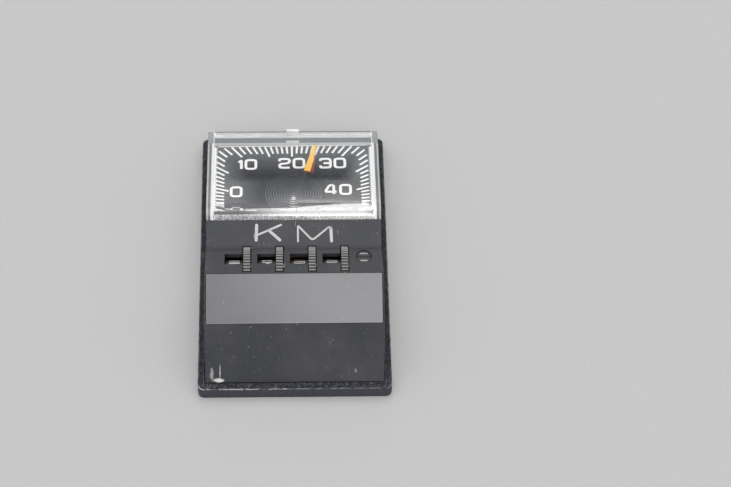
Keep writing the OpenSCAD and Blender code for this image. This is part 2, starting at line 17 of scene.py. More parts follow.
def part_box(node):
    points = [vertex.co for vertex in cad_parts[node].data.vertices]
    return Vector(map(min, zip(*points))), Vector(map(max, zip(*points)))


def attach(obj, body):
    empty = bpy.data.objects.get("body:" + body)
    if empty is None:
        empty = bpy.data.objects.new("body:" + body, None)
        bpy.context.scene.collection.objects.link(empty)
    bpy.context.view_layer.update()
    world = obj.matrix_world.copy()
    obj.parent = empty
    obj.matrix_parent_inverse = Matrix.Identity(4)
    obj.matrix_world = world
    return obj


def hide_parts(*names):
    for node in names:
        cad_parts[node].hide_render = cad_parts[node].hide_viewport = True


bl_info = {
    "name": "Dashboard Dial Thermometer",
    "version": (1, 0, 0),
    "blender": (4, 5, 0),
    "location": "View3D > Sidebar > Gauge",
    "description": "Dresses the packed dashboard dial thermometer and sets its stage",
    "category": "Object",
}

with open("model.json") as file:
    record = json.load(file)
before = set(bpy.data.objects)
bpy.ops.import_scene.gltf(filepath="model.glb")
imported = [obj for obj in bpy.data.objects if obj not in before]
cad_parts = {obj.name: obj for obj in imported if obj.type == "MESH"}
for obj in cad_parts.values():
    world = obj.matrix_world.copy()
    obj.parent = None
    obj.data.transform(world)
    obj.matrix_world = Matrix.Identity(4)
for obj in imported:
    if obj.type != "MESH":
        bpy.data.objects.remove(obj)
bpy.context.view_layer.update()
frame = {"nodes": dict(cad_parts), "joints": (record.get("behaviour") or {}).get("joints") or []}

MM = 0.001
MERGE_DISTANCE = 0.002 * MM
FLAT_ANGLE = math.radians(0.4)
SHARP_ANGLE = math.radians(32)
ROUNDED_ANGLE = math.radians(28)
SMALL_FACE = 2.0e-6
# How far off an edge the look for open air starts, and how far it goes.
AIR_START = 0.02 * MM
AIR_REACH = 1.0
EDGE_LAYER = "edge"
# Segments of a broad and of a fine rounded edge.
BROAD = 3
FINE = 2

JOINTS = {joint["name"]: joint for joint in frame["joints"]}

# The dial's own frame: its origin is where the pointer's axis meets the dial's face.
DIAL_ORIGIN = Vector(JOINTS["pointer_swing"]["pos_m"])
DIAL_NORMAL = -Vector(JOINTS["pointer_swing"]["axis"]).normalized()
DIAL_UP = DIAL_NORMAL.cross(Vector((1, 0, 0)))
DIAL_TILT = Matrix((Vector((1, 0, 0)), DIAL_UP, DIAL_NORMAL)).transposed().to_4x4()

# The wheels' axle and radii, and the lines where the strip and the riser meet.
AXLE = Vector(JOINTS["wheel_1_spin"]["pos_m"]) * Vector((0, 1, 1))
STRIP_FAR_Y = -0.875 * MM
STRIP_Z = 9.25 * MM
RISER_RUN = 5.3 * MM
RISER_RISE = 3.8 * MM
WHEEL_R = 4.8 * MM
RIM_W = 1.75 * MM
DRUM_R = 1.55 * MM
BORE_R = 0.79 * MM

# How far the rings' middle lies beyond the pointer's axis, and the step of the cover's flutes.
RING_BACK = 1.0 * MM
FLUTE_STEP = 0.69 * MM

# Scales of the surface grain.
MOULD_GRAIN = 9000.0
PLATE_GRAIN = 12000.0
PAINT_GRAIN = 6000.0

# Dried glue on the housing's front, in millimetres: middle and half size across, the same in height, strength.
GLUE_SMEARS = [(-17.65, 1.3, 4.05, 0.5, 1.0), (-19.2, 0.5, 5.3, 1.5, 0.4), (-17.3, 0.22, 5.9, 1.8, 0.5)]

# Camera of the photograph: place, and directions to its right, its top and its subject.
EYE = Vector((-1.262, -309.966, 437.057)) * MM
EYE_RIGHT = Vector((0.999371, -0.026158, 0.023937))
EYE_UP = Vector((0.007117, 0.809340, 0.587298))
EYE_FORWARD = Vector((0.034736, 0.586758, -0.809017))
FOCAL_PX = 2212.36
IMAGE_W_PX = 731
SENSOR_MM = 36.0


def on_dial(x, y, z):
    """A place on the dial, from the pointer's axis."""
    return DIAL_ORIGIN + Vector((x, 0, 0)) + DIAL_UP * y + DIAL_NORMAL * z


def dial_matrix(x, y, z):
    """Moves what lies flat at the origin to a place on the dial."""
    return Matrix.Translation(on_dial(x, y, z)) @ DIAL_TILT


def rise_of(point):
    """Height of a point above the dial."""
    return (point - DIAL_ORIGIN).dot(DIAL_NORMAL)


def on_riser(x, y, z):
    """A place on the riser, from the middle of its foot."""
    up = Vector((0, RISER_RUN, RISER_RISE)) / math.hypot(RISER_RUN, RISER_RISE)
    return Vector((x, STRIP_FAR_Y, STRIP_Z)) + up * y + Vector((0, -up.z, up.y)) * z


def round_axle(x, radius, angle):
    """A place at an angle round the wheels' axle, from its top towards the far side."""
    return AXLE + Vector((x, radius * math.sin(angle), radius * math.cos(angle)))


def on_drum(x, y, z):
    """A place on a figure drum, where y runs round from its top towards the far side."""
    return round_axle(x, DRUM_R + z, y / DRUM_R)


def scaled(colour, share):
    """A colour made darker or lighter."""
    return tuple(part * share for part in colour)


# ---- sizes and colours -------------------------------------------------------------------------------


def length_property(name, description, millimetres):
    """A length that the user may change."""
    return FloatProperty(name=name, description=description, default=millimetres * MM, unit="LENGTH")


def count_property(name, description, default):
    """A count that the user may change."""
    return IntProperty(name=name, description=description, default=default, min=1)


def colour_property(name, description, default):
    """A colour that the user may change."""
    return FloatVectorProperty(
        name=name, description=description, subtype="COLOR", size=3, min=0.0, max=1.0, default=default
    )


class GaugeSizes(bpy.types.PropertyGroup):
    """Sizes of the finish: edges, print, rings, teeth and ribs."""

    body_edge: length_property("Body edge", "Width of the rounded edges of the mouldings", 0.32)
    rim_edge: length_property("Rim edge", "Width of the rounded edges of the base plate's rim", 0.4)
    fine_edge: length_property("Fine edge", "Width of the rounded edges of small pieces", 0.08)
    flag_edge: length_property("Flag edge", "Width of the rounded edges of the pointer's flag", 0.05)
    screw_edge: length_property("Screw edge", "Width of the rounded edges of the housing screw", 0.1)
    tick_width: length_property("Tick width", "Width of the scale's ticks", 0.5)
    tick_step: FloatProperty(
        name="Tick step", description="Angle from tick to tick", default=math.radians(3.61), subtype="ANGLE"
    )
    tick_count: count_property("Ticks", "Ticks of the whole scale", 57)
    long_tick: length_property("Long tick", "How much longer every fifth tick is", 1.05)
    figure_height: length_property("Figure height", "Height of the scale's figures", 3.75)
    figure_width: length_property("Figure width", "Width of one of the scale's figures", 3.12)
    figure_stroke: length_property("Figure stroke", "Stroke of the scale's figures", 0.68)
    print_height: length_property("Print height", "Height of the print above its ground", 0.03)
    unit_stroke: length_property("Unit stroke", "Stroke of the unit letters", 0.72)
    ring_count: count_property("Rings", "Turned rings below the cover's top", 11)
    ring_pitch: length_property("Ring pitch", "Step from ring to ring", 0.64)
    ring_width: length_property("Ring width", "Width of a ring", 0.13)
    ring_height: length_property("Ring height", "Height of a ring", 0.03)
    tooth_width: length_property("Tooth width", "Width of a tooth at its root", 0.6)
    tooth_depth: length_property("Tooth depth", "Length of a tooth from root to tip", 0.45)
    tooth_band: length_property("Tooth band", "Width of the band that carries the teeth", 0.9)
    tooth_height: length_property("Tooth height", "Height of the teeth and their band", 0.08)
    rib_count: count_property("Ribs", "Ribs of a wheel's knurl", 40)
    rib_radius: length_property("Rib radius", "Half of a rib's width", 0.26)
    rib_height: length_property("Rib height", "Height of a rib above its middle", 0.4)


class GaugeColours(bpy.types.PropertyGroup):
    """Colours of the finishes."""

    plastic: colour_property("Plastic", "Black moulded plastic", (0.028, 0.0295, 0.037))
    # The crest's colour is partly wear and partly a painted highlight.
    crest: colour_property("Crest", "Rubbed crest of the housing", (0.17, 0.17, 0.178))
    wheel: colour_property("Wheels", "Charcoal plastic of the thumbwheels", (0.27, 0.27, 0.268))
    drum: colour_property("Drums", "Brown-grey plastic of the figure drums", (0.055, 0.05, 0.042))
    plate: colour_property("Plate", "Satin grey of the name plate", (0.288, 0.282, 0.29))
    speck: colour_property("Specks", "Pale specks on the name plate", (0.62, 0.62, 0.6))
    dial: colour_property("Dial", "Black of the dial", (0.020, 0.021, 0.024))
    white_print: colour_property("Print", "White print", (0.99, 0.99, 0.97))
    orange: colour_property("Pointer", "Orange of the pointer's flag", (1.0, 0.56, 0.05))
    # The flank's colour is painted shade: a darker copy of the orange for the side turned away from the light.
    red: colour_property("Flank", "Red of the flag's turned-down side", (0.32, 0.014, 0.008))
    arm: colour_property("Arm", "Black of the pointer's arm", (0.012, 0.012, 0.013))
    silver: colour_property("Silver", "Silver of the unit letters", (0.66, 0.67, 0.66))
    steel: colour_property("Steel", "Bright steel", (0.56, 0.56, 0.57))
    dark_steel: colour_property("Dark steel", "Blackened steel of the housing screw", (0.055, 0.054, 0.055))
    # The screw's bright bars are partly wear and partly a painted highlight.
    bare_steel: colour_property("Bare steel", "Rubbed steel along the screw's slot", (0.44, 0.44, 0.43))
    brass: colour_property("Brass", "Turned brass", (0.72, 0.53, 0.26))
    dark_brass: colour_property("Dark brass", "Blackened brass of the upper bush", (0.03, 0.028, 0.025))
    foam: colour_property("Foam", "Foam of the mounting pads", (0.72, 0.71, 0.67))
    clear: colour_property("Clear", "Clear plastic of the cover", (0.995, 1.0, 0.998))
    # The cover's wall colours are painted light and shade, for the light that its clear flutes scatter and mirror.
    wall: colour_property("Cover walls", "White of the cover's scattering faces", (0.97, 0.97, 0.96))
    wall_side: colour_property("Side walls", "Grey of the side walls", (0.20, 0.205, 0.205))
    wall_edge: colour_property("Wall edges", "Outer edges of the side walls", (0.6, 0.61, 0.6))
    wall_near: colour_property("Near wall", "Left end of the near wall", (0.85, 0.86, 0.86))
    wall_stripe: colour_property("Near stripes", "Stripes of the near wall", (0.2, 0.2, 0.2))
    wall_far: colour_property("Far wall", "Grey band of the far wall", (0.19, 0.194, 0.20))
    wall_corner: colour_property("Far corners", "Corners of the far wall", (0.34, 0.35, 0.35))
    # The rings' colours are painted light and shade: darker at the far side, lighter at the near side, and a painted
    # highlight where they turn to the light.
    ring_far: colour_property("Far rings", "Rings at their far side", (0.10, 0.10, 0.104))
    ring_near: colour_property("Near rings", "Rings at their near side", (0.34, 0.34, 0.345))
    ring_streak: colour_property("Ring streak", "Rings where they turn to the light", (0.95, 0.95, 0.93))
    dust: colour_property("Dust", "Dust and pale scuffs", (0.46, 0.45, 0.42))
    glue: colour_property("Glue", "Dried glue at the foot of the housing", (0.74, 0.74, 0.71))
    floor: colour_property("Floor", "Pale floor", (0.56, 0.56, 0.555))


# ---- node trees --------------------------------------------------------------------------------------


class Value:
    """A value in a node tree, on which plain arithmetic works."""

    def __init__(self, graph, socket):
        self.graph, self.socket = graph, socket

    def __add__(self, other):
        return self.graph.math("ADD", self, other)

    def __sub__(self, other):
        return self.graph.math("SUBTRACT", self, other)

    def __rsub__(self, other):
        return self.graph.math("SUBTRACT", other, self)

    def __mul__(self, other):
        return self.graph.math("MULTIPLY", self, other)

    def __truediv__(self, other):
        return self.graph.math("DIVIDE", self, other)

    def __rtruediv__(self, other):
        return self.graph.math("DIVIDE", other, self)

    def __neg__(self):
        return self * -1.0

    def __abs__(self):
        return self.graph.math("ABSOLUTE", self)

    __radd__, __rmul__ = __add__, __mul__

    def ramp(self, low, high):
        """The value spread from low to high onto 0 to 1."""
        made = self.graph.node("ShaderNodeMapRange", {"interpolation_type": "SMOOTHSTEP"})
        for socket, given in zip(made.inputs, (self, low, high)):
            self.graph.feed(socket, given)
        return Value(self.graph, made.outputs[0])

    def span(self, low, high):
        """A length spread from low to high, both in millimetres, onto 0 to 1."""
        return self.ramp(low * MM, high * MM)

    def band(self, low, high, soft):
        """1 between two lengths in millimetres, with soft ends, and 0 elsewhere."""
        return self.span(low - soft, low + soft) - self.span(high - soft, high + soft)


class Graph:
    """A node tree with short calls for nodes and links."""

    def __init__(self, tree):
        self.tree = tree

    def feed(self, socket, value):
        """Gives a socket a value or a link."""
        if isinstance(value, Value):
            self.tree.links.new(value.socket, socket)
        else:
            socket.default_value = value

    def fill(self, node, **inputs):
        """Feeds a node's sockets by their names, with underscores for spaces."""
        for name, value in inputs.items():
            self.feed(node.inputs[name.replace("_", " ")], value)

    def node(self, kind, settings=None, **inputs):
        """Adds a node with its settings and its sockets' values."""
        made = self.tree.nodes.new(kind)
        for name, value in (settings or {}).items():
            setattr(made, name, value)
        self.fill(made, **inputs)
        return made

    def outs(self, kind, settings=None, **inputs):
        """The outputs of a new node by their names."""
        return {socket.name: Value(self, socket) for socket in self.node(kind, settings, **inputs).outputs}

    def out(self, kind, settings=None, **inputs):
        """The first output of a new node."""
        return Value(self, self.node(kind, settings, **inputs).outputs[0])

    def group(self, tree, **inputs):
        """The outputs of a shared shader group."""
        return self.outs("ShaderNodeGroup", {"node_tree": tree}, **inputs)

    def axes(self, vector):
        """The X, Y and Z of a vector."""
        return self.outs("ShaderNodeSeparateXYZ", Vector=vector).values()

    def vector(self, **parts):
        """A vector from its X, Y and Z."""
        return self.out("ShaderNodeCombineXYZ", **parts)

    def worn(self):
        """1 on the rounded edges and 0 elsewhere."""
        return self.outs("ShaderNodeAttribute", {"attribute_name": EDGE_LAYER})["Fac"]

    def math(self, operation, *values, clamp=False):
        """A Math node's output."""
        made = self.node("ShaderNodeMath", {"operation": operation, "use_clamp": clamp})
        for socket, value in zip(made.inputs, values):
            self.feed(socket, value)
        return Value(self, made.outputs[0])

    def mix(self, factor, first, second):
        """A colour between two colours."""
        made = self.node("ShaderNodeMix", {"data_type": "RGBA"})
        self.feed(made.inputs[0], factor)
        for socket, value in zip(made.inputs[6:8], (first, second)):
            self.feed(socket, value if isinstance(value, Value) else (*value, 1.0))
        return Value(self, made.outputs[2])

    def noise(self, vector, scale, detail=3.0, roughness=0.55):
        """A noise texture's value."""
        return self.out("ShaderNodeTexNoise", Vector=vector, Scale=scale, Detail=detail, Roughness=roughness)

    def stretched(self, vector, scale, turn=0.0):
        """Coordinates scaled along each axis after a turn about Z."""
        return self.out("ShaderNodeMapping", Vector=vector, Scale=scale, Rotation=(0.0, 0.0, turn))

    def bump(self, shader, height, strength, distance):
        """Feeds a height to a shader's normal; the distance is in millimetres."""
        bent = self.out("ShaderNodeBump", Height=height, Strength=strength, Distance=distance * MM)
        self.fill(shader, Normal=bent)


def new_tree(name, kind, inputs, outputs):
    """An empty node group with named sockets: its graph, what it is given and what it gives."""
    tree = bpy.data.node_groups.new(name, kind)
    for way, sockets in (("INPUT", inputs), ("OUTPUT", outputs)):
        for socket_name, socket_kind in sockets.items():
            tree.interface.new_socket(socket_name, in_out=way, socket_type="NodeSocket" + socket_kind)
    graph = Graph(tree)
    return graph, graph.outs("NodeGroupInput"), graph.node("NodeGroupOutput")


def grain_group():
    """Fine grain of a moulded or painted surface."""
    name = "moulded_grain"
    if name in bpy.data.node_groups:
        return bpy.data.node_groups[name]
    graph, given, end = new_tree(
        name, "ShaderNodeTree", {"Vector": "Vector", "Scale": "Float"}, {"Height": "Float", "Cloud": "Float"}
    )
    vector, scale = given["Vector"], given["Scale"]
    fine, coarse = graph.noise(vector, scale, 2.0), graph.noise(vector, scale * 0.11)
    graph.fill(end, Height=fine * 0.6 + coarse * 0.4, Cloud=graph.noise(vector, scale * 0.012, 3.0, 0.6))
    return graph.tree


def dust_group():
    """Specks of dust, short scratches and a thin cloudy film."""
    name = "dust_and_scratches"
    if name in bpy.data.node_groups:
        return bpy.data.node_groups[name]
    graph, given, end = new_tree(
        name, "ShaderNodeTree", {"Vector": "Vector", "Specks": "Float", "Scratches": "Float"},
        {"Mask": "Float", "Film": "Float"},
    )
    vector = given["Vector"]
    cell = graph.outs("ShaderNodeTexVoronoi", {"feature": "F1"}, Vector=vector, Scale=1500.0, Randomness=1.0)
    chance, force, _ = graph.outs("ShaderNodeSeparateColor", Color=cell["Color"]).values()
    radius = graph.math("SUBTRACT", chance, 0.66, clamp=True) * 0.62
    speck = graph.math("LESS_THAN", cell["Distance"], radius) * given["Specks"]
    speck = graph.math("MULTIPLY", speck, 0.15 + force * force, clamp=True)
    mask = speck * graph.noise(vector, 160.0, 2.0).ramp(0.36, 0.58)
    for turn, scale in ((0.35, (2600.0, 130.0, 500.0)), (-1.05, (2300.0, 120.0, 450.0))):
        line = graph.noise(graph.stretched(vector, scale, turn), 1.0, 1.0).ramp(0.70, 0.78)
        where = graph.noise(graph.stretched(vector, (1.0, 1.0, 1.0), turn), 210.0, 1.0).ramp(0.57, 0.66)
        mask = graph.math("MAXIMUM", mask, line * where * given["Scratches"])
    graph.fill(end, Mask=mask, Film=graph.noise(vector, 75.0, 4.0, 0.6).ramp(0.35, 0.75))
    return graph.tree


# ---- materials ---------------------------------------------------------------------------------------


def new_material(name):
    """A material with its graph, shader and object coordinates."""
    material = bpy.data.materials.new(name)
    material.use_nodes = True
    graph = Graph(material.node_tree)
    return material, graph, material.node_tree.nodes["Principled BSDF"], graph.outs("ShaderNodeTexCoord")["Object"]


def finish_of(make, name, *args, **options):
    """A material by name, made when it is first asked for."""
    return bpy.data.materials.get(name) or make(name, *args, **options)


def cloudy(roughness, cloud):
    """A roughness that varies softly about a value."""
    return cloud * 0.16 + (roughness - 0.08)


def moulded_material(name, colours, colour, roughness, finish, specular=0.5, film=0.2, specks=0.8, scratches=0.6):
    """Moulded plastic with grain, edges lighter from wear and a painted highlight, dust and scratches; finish
    changes the colour under the dust.
    """
    material, graph, shader, coords = new_material(name)
    grains = graph.group(grain_group(), Vector=coords, Scale=MOULD_GRAIN)
    marks = graph.group(dust_group(), Vector=coords, Specks=specks, Scratches=scratches)
    worn = graph.worn()
    # Rounded edges are lighter in patches: partly wear, partly a painted highlight.
    rub_and_highlight = worn * graph.noise(coords, 620.0, 4.0).ramp(0.34, 0.66) * 0.7
    lighter = tuple(min(1.0, part * 3.0 + 0.14) for part in colour)
    shade = graph.mix(grains["Cloud"] * 0.5, colour, scaled(colour, 1.5))
    shade = graph.mix(marks["Film"] * film, shade, scaled(colours.dust, 0.35))
    shade = finish(graph, colours, coords, worn, graph.mix(rub_and_highlight, shade, lighter))
    graph.fill(
        shader, Base_Color=graph.mix(marks["Mask"], shade, colours.dust), Specular_IOR_Level=specular,
        Roughness=cloudy(roughness, grains["Cloud"]) + marks["Mask"] * 0.3,
    )
    graph.bump(shader, grains["Height"], 0.25, 0.04)
    return material


def wheel_finish(graph, colours, coords, worn, shade):
    """Drum of its own colour, painted shade in the grooves and the wheel's own colour on the rib tops, by the
    distance from the axle.
    """
    _, y, z = graph.axes(coords)
    back, up = y - AXLE.y, z - AXLE.z
    radius = graph.math("SQRT", back * back + up * up)
    rib_top = radius.ramp(WHEEL_R - 0.36 * MM, WHEEL_R - 0.06 * MM)
    # Painted shade: the grooves between the ribs are darker than the rib tops.
    ribs = graph.mix(rib_top, scaled(colours.wheel, 0.16), shade)
    return graph.mix(radius.span(3.4, 4.1), colours.drum, ribs)


def housing_finish(graph, colours, coords, worn, shade):
    """Painted shade in the crease behind the wheels, dried glue at the near left foot, and along the crest edges
    lighter from wear and a painted highlight, with chips.
    """
    x, y, z = graph.axes(coords)
    patchy = graph.noise(coords, 900.0, 4.0, 0.65)
    # Painted shade: darker in the crease where the strip meets the riser, behind the wheels.
    crease_shade = y.band(-1.5, -0.5, 0.5) * z.band(8.9, 9.8, 0.4)
    shade = graph.mix(crease_shade * 0.6, shade, scaled(colours.plastic, 0.4))
    front = 1.0 - y.span(-32.4, -31.4)
    for x_middle, x_half, z_middle, z_half, strength in GLUE_SMEARS:
        aside, above = (x - x_middle * MM) / (x_half * MM), (z - z_middle * MM) / (z_half * MM)
        away = aside * aside + above * above + patchy * 2.4
        shade = graph.mix((1.0 - away.ramp(1.35, 2.35)) * front * strength, shade, colours.glue)
    # The crest's rounded edges are lighter: partly wear, partly a painted highlight.
    shade = graph.mix(worn * y.band(-27.9, -26.4, 0.2) * 0.6, shade, colours.crest)
    return graph.mix(worn * patchy.ramp(0.60, 0.66) * 0.8, shade, colours.dust)


def base_finish(graph, colours, coords, worn, shade):
    """Rim top darker as painted shade, walls paler as painted light, and a worn line along the near top edge, mostly
    on the left.
    """
    x, y, z = graph.axes(coords)
    mottle = graph.noise(coords, 1300.0, 4.0, 0.7).ramp(0.35, 0.75)
    # Away from the rounded edges, the rim's top is darker as painted shade at the housing's foot, and the walls are
    # paler as painted light.
    dark, middle, pale = (scaled(colours.plastic, share) for share in (0.45, 1.8, 2.3))
    ground = graph.mix(z.span(3.1, 3.5), graph.mix(mottle, middle, pale), graph.mix(mottle, dark, pale))
    shade = graph.mix(1.0 - worn, shade, ground)
    fluff = graph.noise(coords, 2600.0, 3.0, 0.7).ramp(0.56, 0.68) * y.band(-36.5, -34.6, 0.3)
    shade = graph.mix(fluff * 0.35, shade, colours.dust)
    near, left = 1.0 - y.span(-36.0, -35.0), (-x).span(-6.0, 8.0)
    streaks = graph.noise(graph.stretched(coords, (900.0, 1800.0, 1800.0)), 1.0, 5.0)
    line = graph.math("GREATER_THAN", streaks, 0.66 - left * 0.2) * near * worn
    return graph.mix(line * (0.35 + left * 0.35), shade, colours.dust)


def paint_material(name, colour, roughness, vary=0.12, specular=0.5):
    """Paint or print with a slight mottle."""
    material, graph, shader, coords = new_material(name)
    grains = graph.group(grain_group(), Vector=coords, Scale=PAINT_GRAIN)
    graph.fill(
        shader, Base_Color=graph.mix(grains["Height"], scaled(colour, 1.0 - 2.0 * vary), colour),
        Roughness=cloudy(roughness, grains["Cloud"]), Specular_IOR_Level=specular,
    )
    graph.bump(shader, grains["Height"], 0.15, 0.02)
    return material


def metal_material(name, colour, roughness):
    """Bright metal with fine turning or drawing lines and a dull bloom."""
    material, graph, shader, coords = new_material(name)
    line = graph.noise(graph.stretched(coords, (7000.0, 500.0, 500.0)), 1.0)
    bloom = graph.noise(coords, 700.0).ramp(0.4, 0.75)
    graph.fill(
        shader, Base_Color=graph.mix(bloom, colour, scaled(colour, 0.62)), Metallic=1.0,
        Roughness=roughness + (line + bloom) * 0.14,
    )
    graph.bump(shader, line, 0.2, 0.02)
    return material


def screw_material(name, colours, middle):
    """Blackened steel, bright along both sides of the slot from wear and a painted highlight."""
    material, graph, shader, coords = new_material(name)
    x, y, _ = graph.axes(coords)
    along, aside = abs(x - middle.x), abs(y - middle.y)
    # Bright bars along both sides of the slot: partly wear, partly a painted highlight.
    bar = (aside.span(0.75, 0.9) - aside.span(1.1, 1.25)) * (1.0 - along.span(0.75, 1.05))
    wear_and_glints = bar * graph.noise(coords, 1500.0).ramp(0.25, 0.5)
    shade = graph.mix(wear_and_glints, colours.dark_steel, colours.bare_steel)
    graph.fill(shader, Base_Color=shade, Roughness=0.55 - wear_and_glints * 0.1)
    return material


def plate_material(name, colours):
    """Satin grey paint with a painted reflection that sweeps from darker on the left to lighter on the right, a
    painted highlight on its rounded edges, dust and a few scratches.
    """
    material, graph, shader, coords = new_material(name)
    grains = graph.group(grain_group(), Vector=coords, Scale=PLATE_GRAIN)
    marks = graph.group(dust_group(), Vector=coords, Specks=0.8, Scratches=0.35)
    x, y, _ = graph.axes(coords)
    left, right, film, edge = (scaled(colours.plate, share) for share in (0.70, 1.17, 1.3, 2.0))
    # A painted reflection: darker on the left, lighter on the right.
    shade = graph.mix((x + y * 0.5).span(-36.0, 2.0), left, right)
    shade = graph.mix(marks["Film"] * 0.10, shade, film)
    # A painted highlight on the rounded edges.
    shade = graph.mix(graph.worn() * 0.45, shade, edge)
    shade = graph.mix(marks["Mask"], shade, colours.speck)
    graph.fill(shader, Base_Color=shade, Roughness=0.40 + grains["Cloud"] * 0.12)
    graph.bump(shader, grains["Height"], 0.18, 0.03)
    return material


def clear_material(name, colours):
    """Clear polished plastic with faint scratches; light for shadows passes straight through."""
    material, graph, shader, coords = new_material(name)
    marks = graph.group(dust_group(), Vector=coords, Specks=0.5, Scratches=0.6)
    graph.fill(
        shader, Base_Color=(*colours.clear, 1.0), Transmission_Weight=1.0, IOR=1.49, Coat_Weight=1.0,
        Coat_Roughness=0.02, Roughness=0.012 + marks["Mask"] * 0.35,
    )
    graph.bump(shader, graph.noise(coords, 260.0, 1.0), 0.02, 0.05)
    blend = graph.node("ShaderNodeMixShader")
    shadow = graph.outs("ShaderNodeLightPath")["Is Shadow Ray"]
    passed = graph.out("ShaderNodeBsdfTransparent", Color=(1.0, 1.0, 1.0, 1.0))
    for socket, value in zip(blend.inputs, (shadow, Value(graph, shader.outputs[0]), passed)):
        graph.feed(socket, value)
    graph.fill(graph.tree.nodes["Material Output"], Surface=Value(graph, blend.outputs[0]))
    return material


def fluted_material(name, colours):
    """Faces of the cover's walls and feet, painted with the light and shade that the clear plastic of the flutes
    scatters and mirrors.
    """
    material, graph, shader, coords = new_material(name)
    x, y, z = graph.axes(coords)
    across = abs(x)
    rise = (y - DIAL_ORIGIN.y) * DIAL_NORMAL.y + (z - DIAL_ORIGIN.z) * DIAL_NORMAL.z
    # The side walls are white inside as painted light and grey further out as painted shade, with a painted
    # highlight on their outer edge.
    shade = graph.mix(across.span(19.9, 20.1), colours.wall, colours.wall_side)
    shade = graph.mix(across.span(20.55, 20.65), shade, colours.wall_edge)
    # The near wall is painted light, dimmer on the left, with stripes of painted shade, one for each flute, which
    # fade towards the right.
    near = graph.mix(x.span(-19.0, 10.0), colours.wall_near, colours.wall)
    wave = graph.math("PINGPONG", x + 1.0, FLUTE_STEP / 2)
    stripe_shade = wave.span(0.12, 0.22) * 0.5 * (1.0 - x.span(-4.0, 10.0))
    near = graph.mix(stripe_shade, near, colours.wall_stripe)
    shade = graph.mix(y.span(6.6, 7.0), near, shade)
    # The far wall has a grey band of painted shade with a painted reflection of the nub in its middle, and its
    # corners in painted shade.
    nub_reflection = x.band(-1.7, 1.5, 0.15) * rise.band(0.6, 1.4, 0.1)
    far = graph.mix(rise.band(0.5, 2.45, 0.15) * (1.0 - nub_reflection), colours.wall, colours.wall_far)
    far = graph.mix(across.span(19.5, 19.7), far, colours.wall_corner)
    shade = graph.mix(y.span(31.2, 31.6), shade, far)
    # The nubs behind the far wall are white: painted light.
    shade = graph.mix(y.span(33.38, 33.44), shade, colours.wall)
    haze = graph.noise(coords, 1800.0, 2.0)
    shade = graph.mix(haze * 0.08, shade, colours.wall_far)
    graph.fill(shader, Base_Color=shade, Roughness=0.6 + haze * 0.3, Specular_IOR_Level=0.0)
    return material


def ring_material(name, colours):
    """Turned rings below the cover's top: pale lines, in painted shade at the far side and painted light at the near
    side, with a painted highlight where they turn to the light.
    """
    material, graph, shader, coords = new_material(name)
    x, y, _ = graph.axes(coords)
    towards = (on_dial(0, RING_BACK, 0).y - y) / DIAL_UP.y
    aside = abs(x) - towards * 0.2
    ring_glint = (1.0 - aside.span(0.0, 0.55)) * towards.span(-0.2, 0.8)
    line = graph.mix(towards.span(-6.0, 5.0), colours.ring_far, colours.ring_near)
    shade = graph.mix(ring_glint, line, colours.ring_streak)
    graph.fill(shader, Base_Color=shade, Roughness=0.4 + ring_glint * 0.2, Specular_IOR_Level=0.0)
    return material


def foam_material(name, colours):
    """Closed-cell foam."""
    material, graph, shader, coords = new_material(name)
    cell = graph.out("ShaderNodeTexVoronoi", Vector=coords, Scale=2600.0)
    shade = graph.mix(cell, scaled(colours.foam, 0.8), colours.foam)
    graph.fill(shader, Base_Color=shade, Roughness=0.8 + cell * 0.15)
    graph.bump(shader, cell, 0.5, 0.08)
    return material


def floor_material(name, colours):
    """Pale floor with a faint grain."""
    material, graph, shader, coords = new_material(name)
    fine = graph.noise(coords, 1500.0, 2.0)
    shade = graph.mix(fine, scaled(colours.floor, 0.94), scaled(colours.floor, 1.06))
    graph.fill(shader, Base_Color=shade, Roughness=0.9, Specular_IOR_Level=0.2)
    graph.bump(shader, fine, 0.2, 0.1)
    return material


# ---- meshes ------------------------------------------------------------------------------------------


def cad_copy(node, join_flats=True):
    """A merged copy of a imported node's mesh, with its flat faces joined if asked."""
    bm = bmesh.new()
    bm.from_mesh(frame["nodes"][node].data)
    bmesh.ops.remove_doubles(bm, verts=bm.verts, dist=MERGE_DISTANCE)
    if join_flats:
        bmesh.ops.dissolve_limit(bm, angle_limit=FLAT_ANGLE, verts=bm.verts, edges=bm.edges)
    bm.normal_update()
    bm.loops.layers.float.new(EDGE_LAYER)
    return bm


def outer_edges(bm, pick=None):
    """Convex edges that face the open air and that pick accepts, if it is given."""
    tree = BVHTree.FromBMesh(bm)
    found = []
    for edge in bm.edges:
        if len(edge.link_faces) != 2 or edge.calc_face_angle_signed(0.0) < ROUNDED_ANGLE:
            continue
        middle = (edge.verts[0].co + edge.verts[1].co) / 2
        if pick and not pick(middle, edge):
            continue
        out = (edge.link_faces[0].normal + edge.link_faces[1].normal).normalized()
        if tree.ray_cast(middle + out * AIR_START, out, AIR_REACH)[0] is None:
            found.append(edge)
    return found


def round_edges(bm, edges, width, segments):
    """Rounds edges and marks the new faces, which take wear and painted highlights."""
    made = bmesh.ops.bevel(
        bm, geom=edges, offset=width, offset_type="OFFSET", segments=segments, profile=0.5, affect="EDGES",
        clamp_overlap=True,
    )
    layer = bm.loops.layers.float[EDGE_LAYER]
    for face in made["faces"]:
        for loop in face.loops:
            loop[layer] = 1.0


def new_object(name, data):
    """An object in the scene."""
    obj = bpy.data.objects.new(name, data)
    bpy.context.scene.collection.objects.link(obj)
    return obj


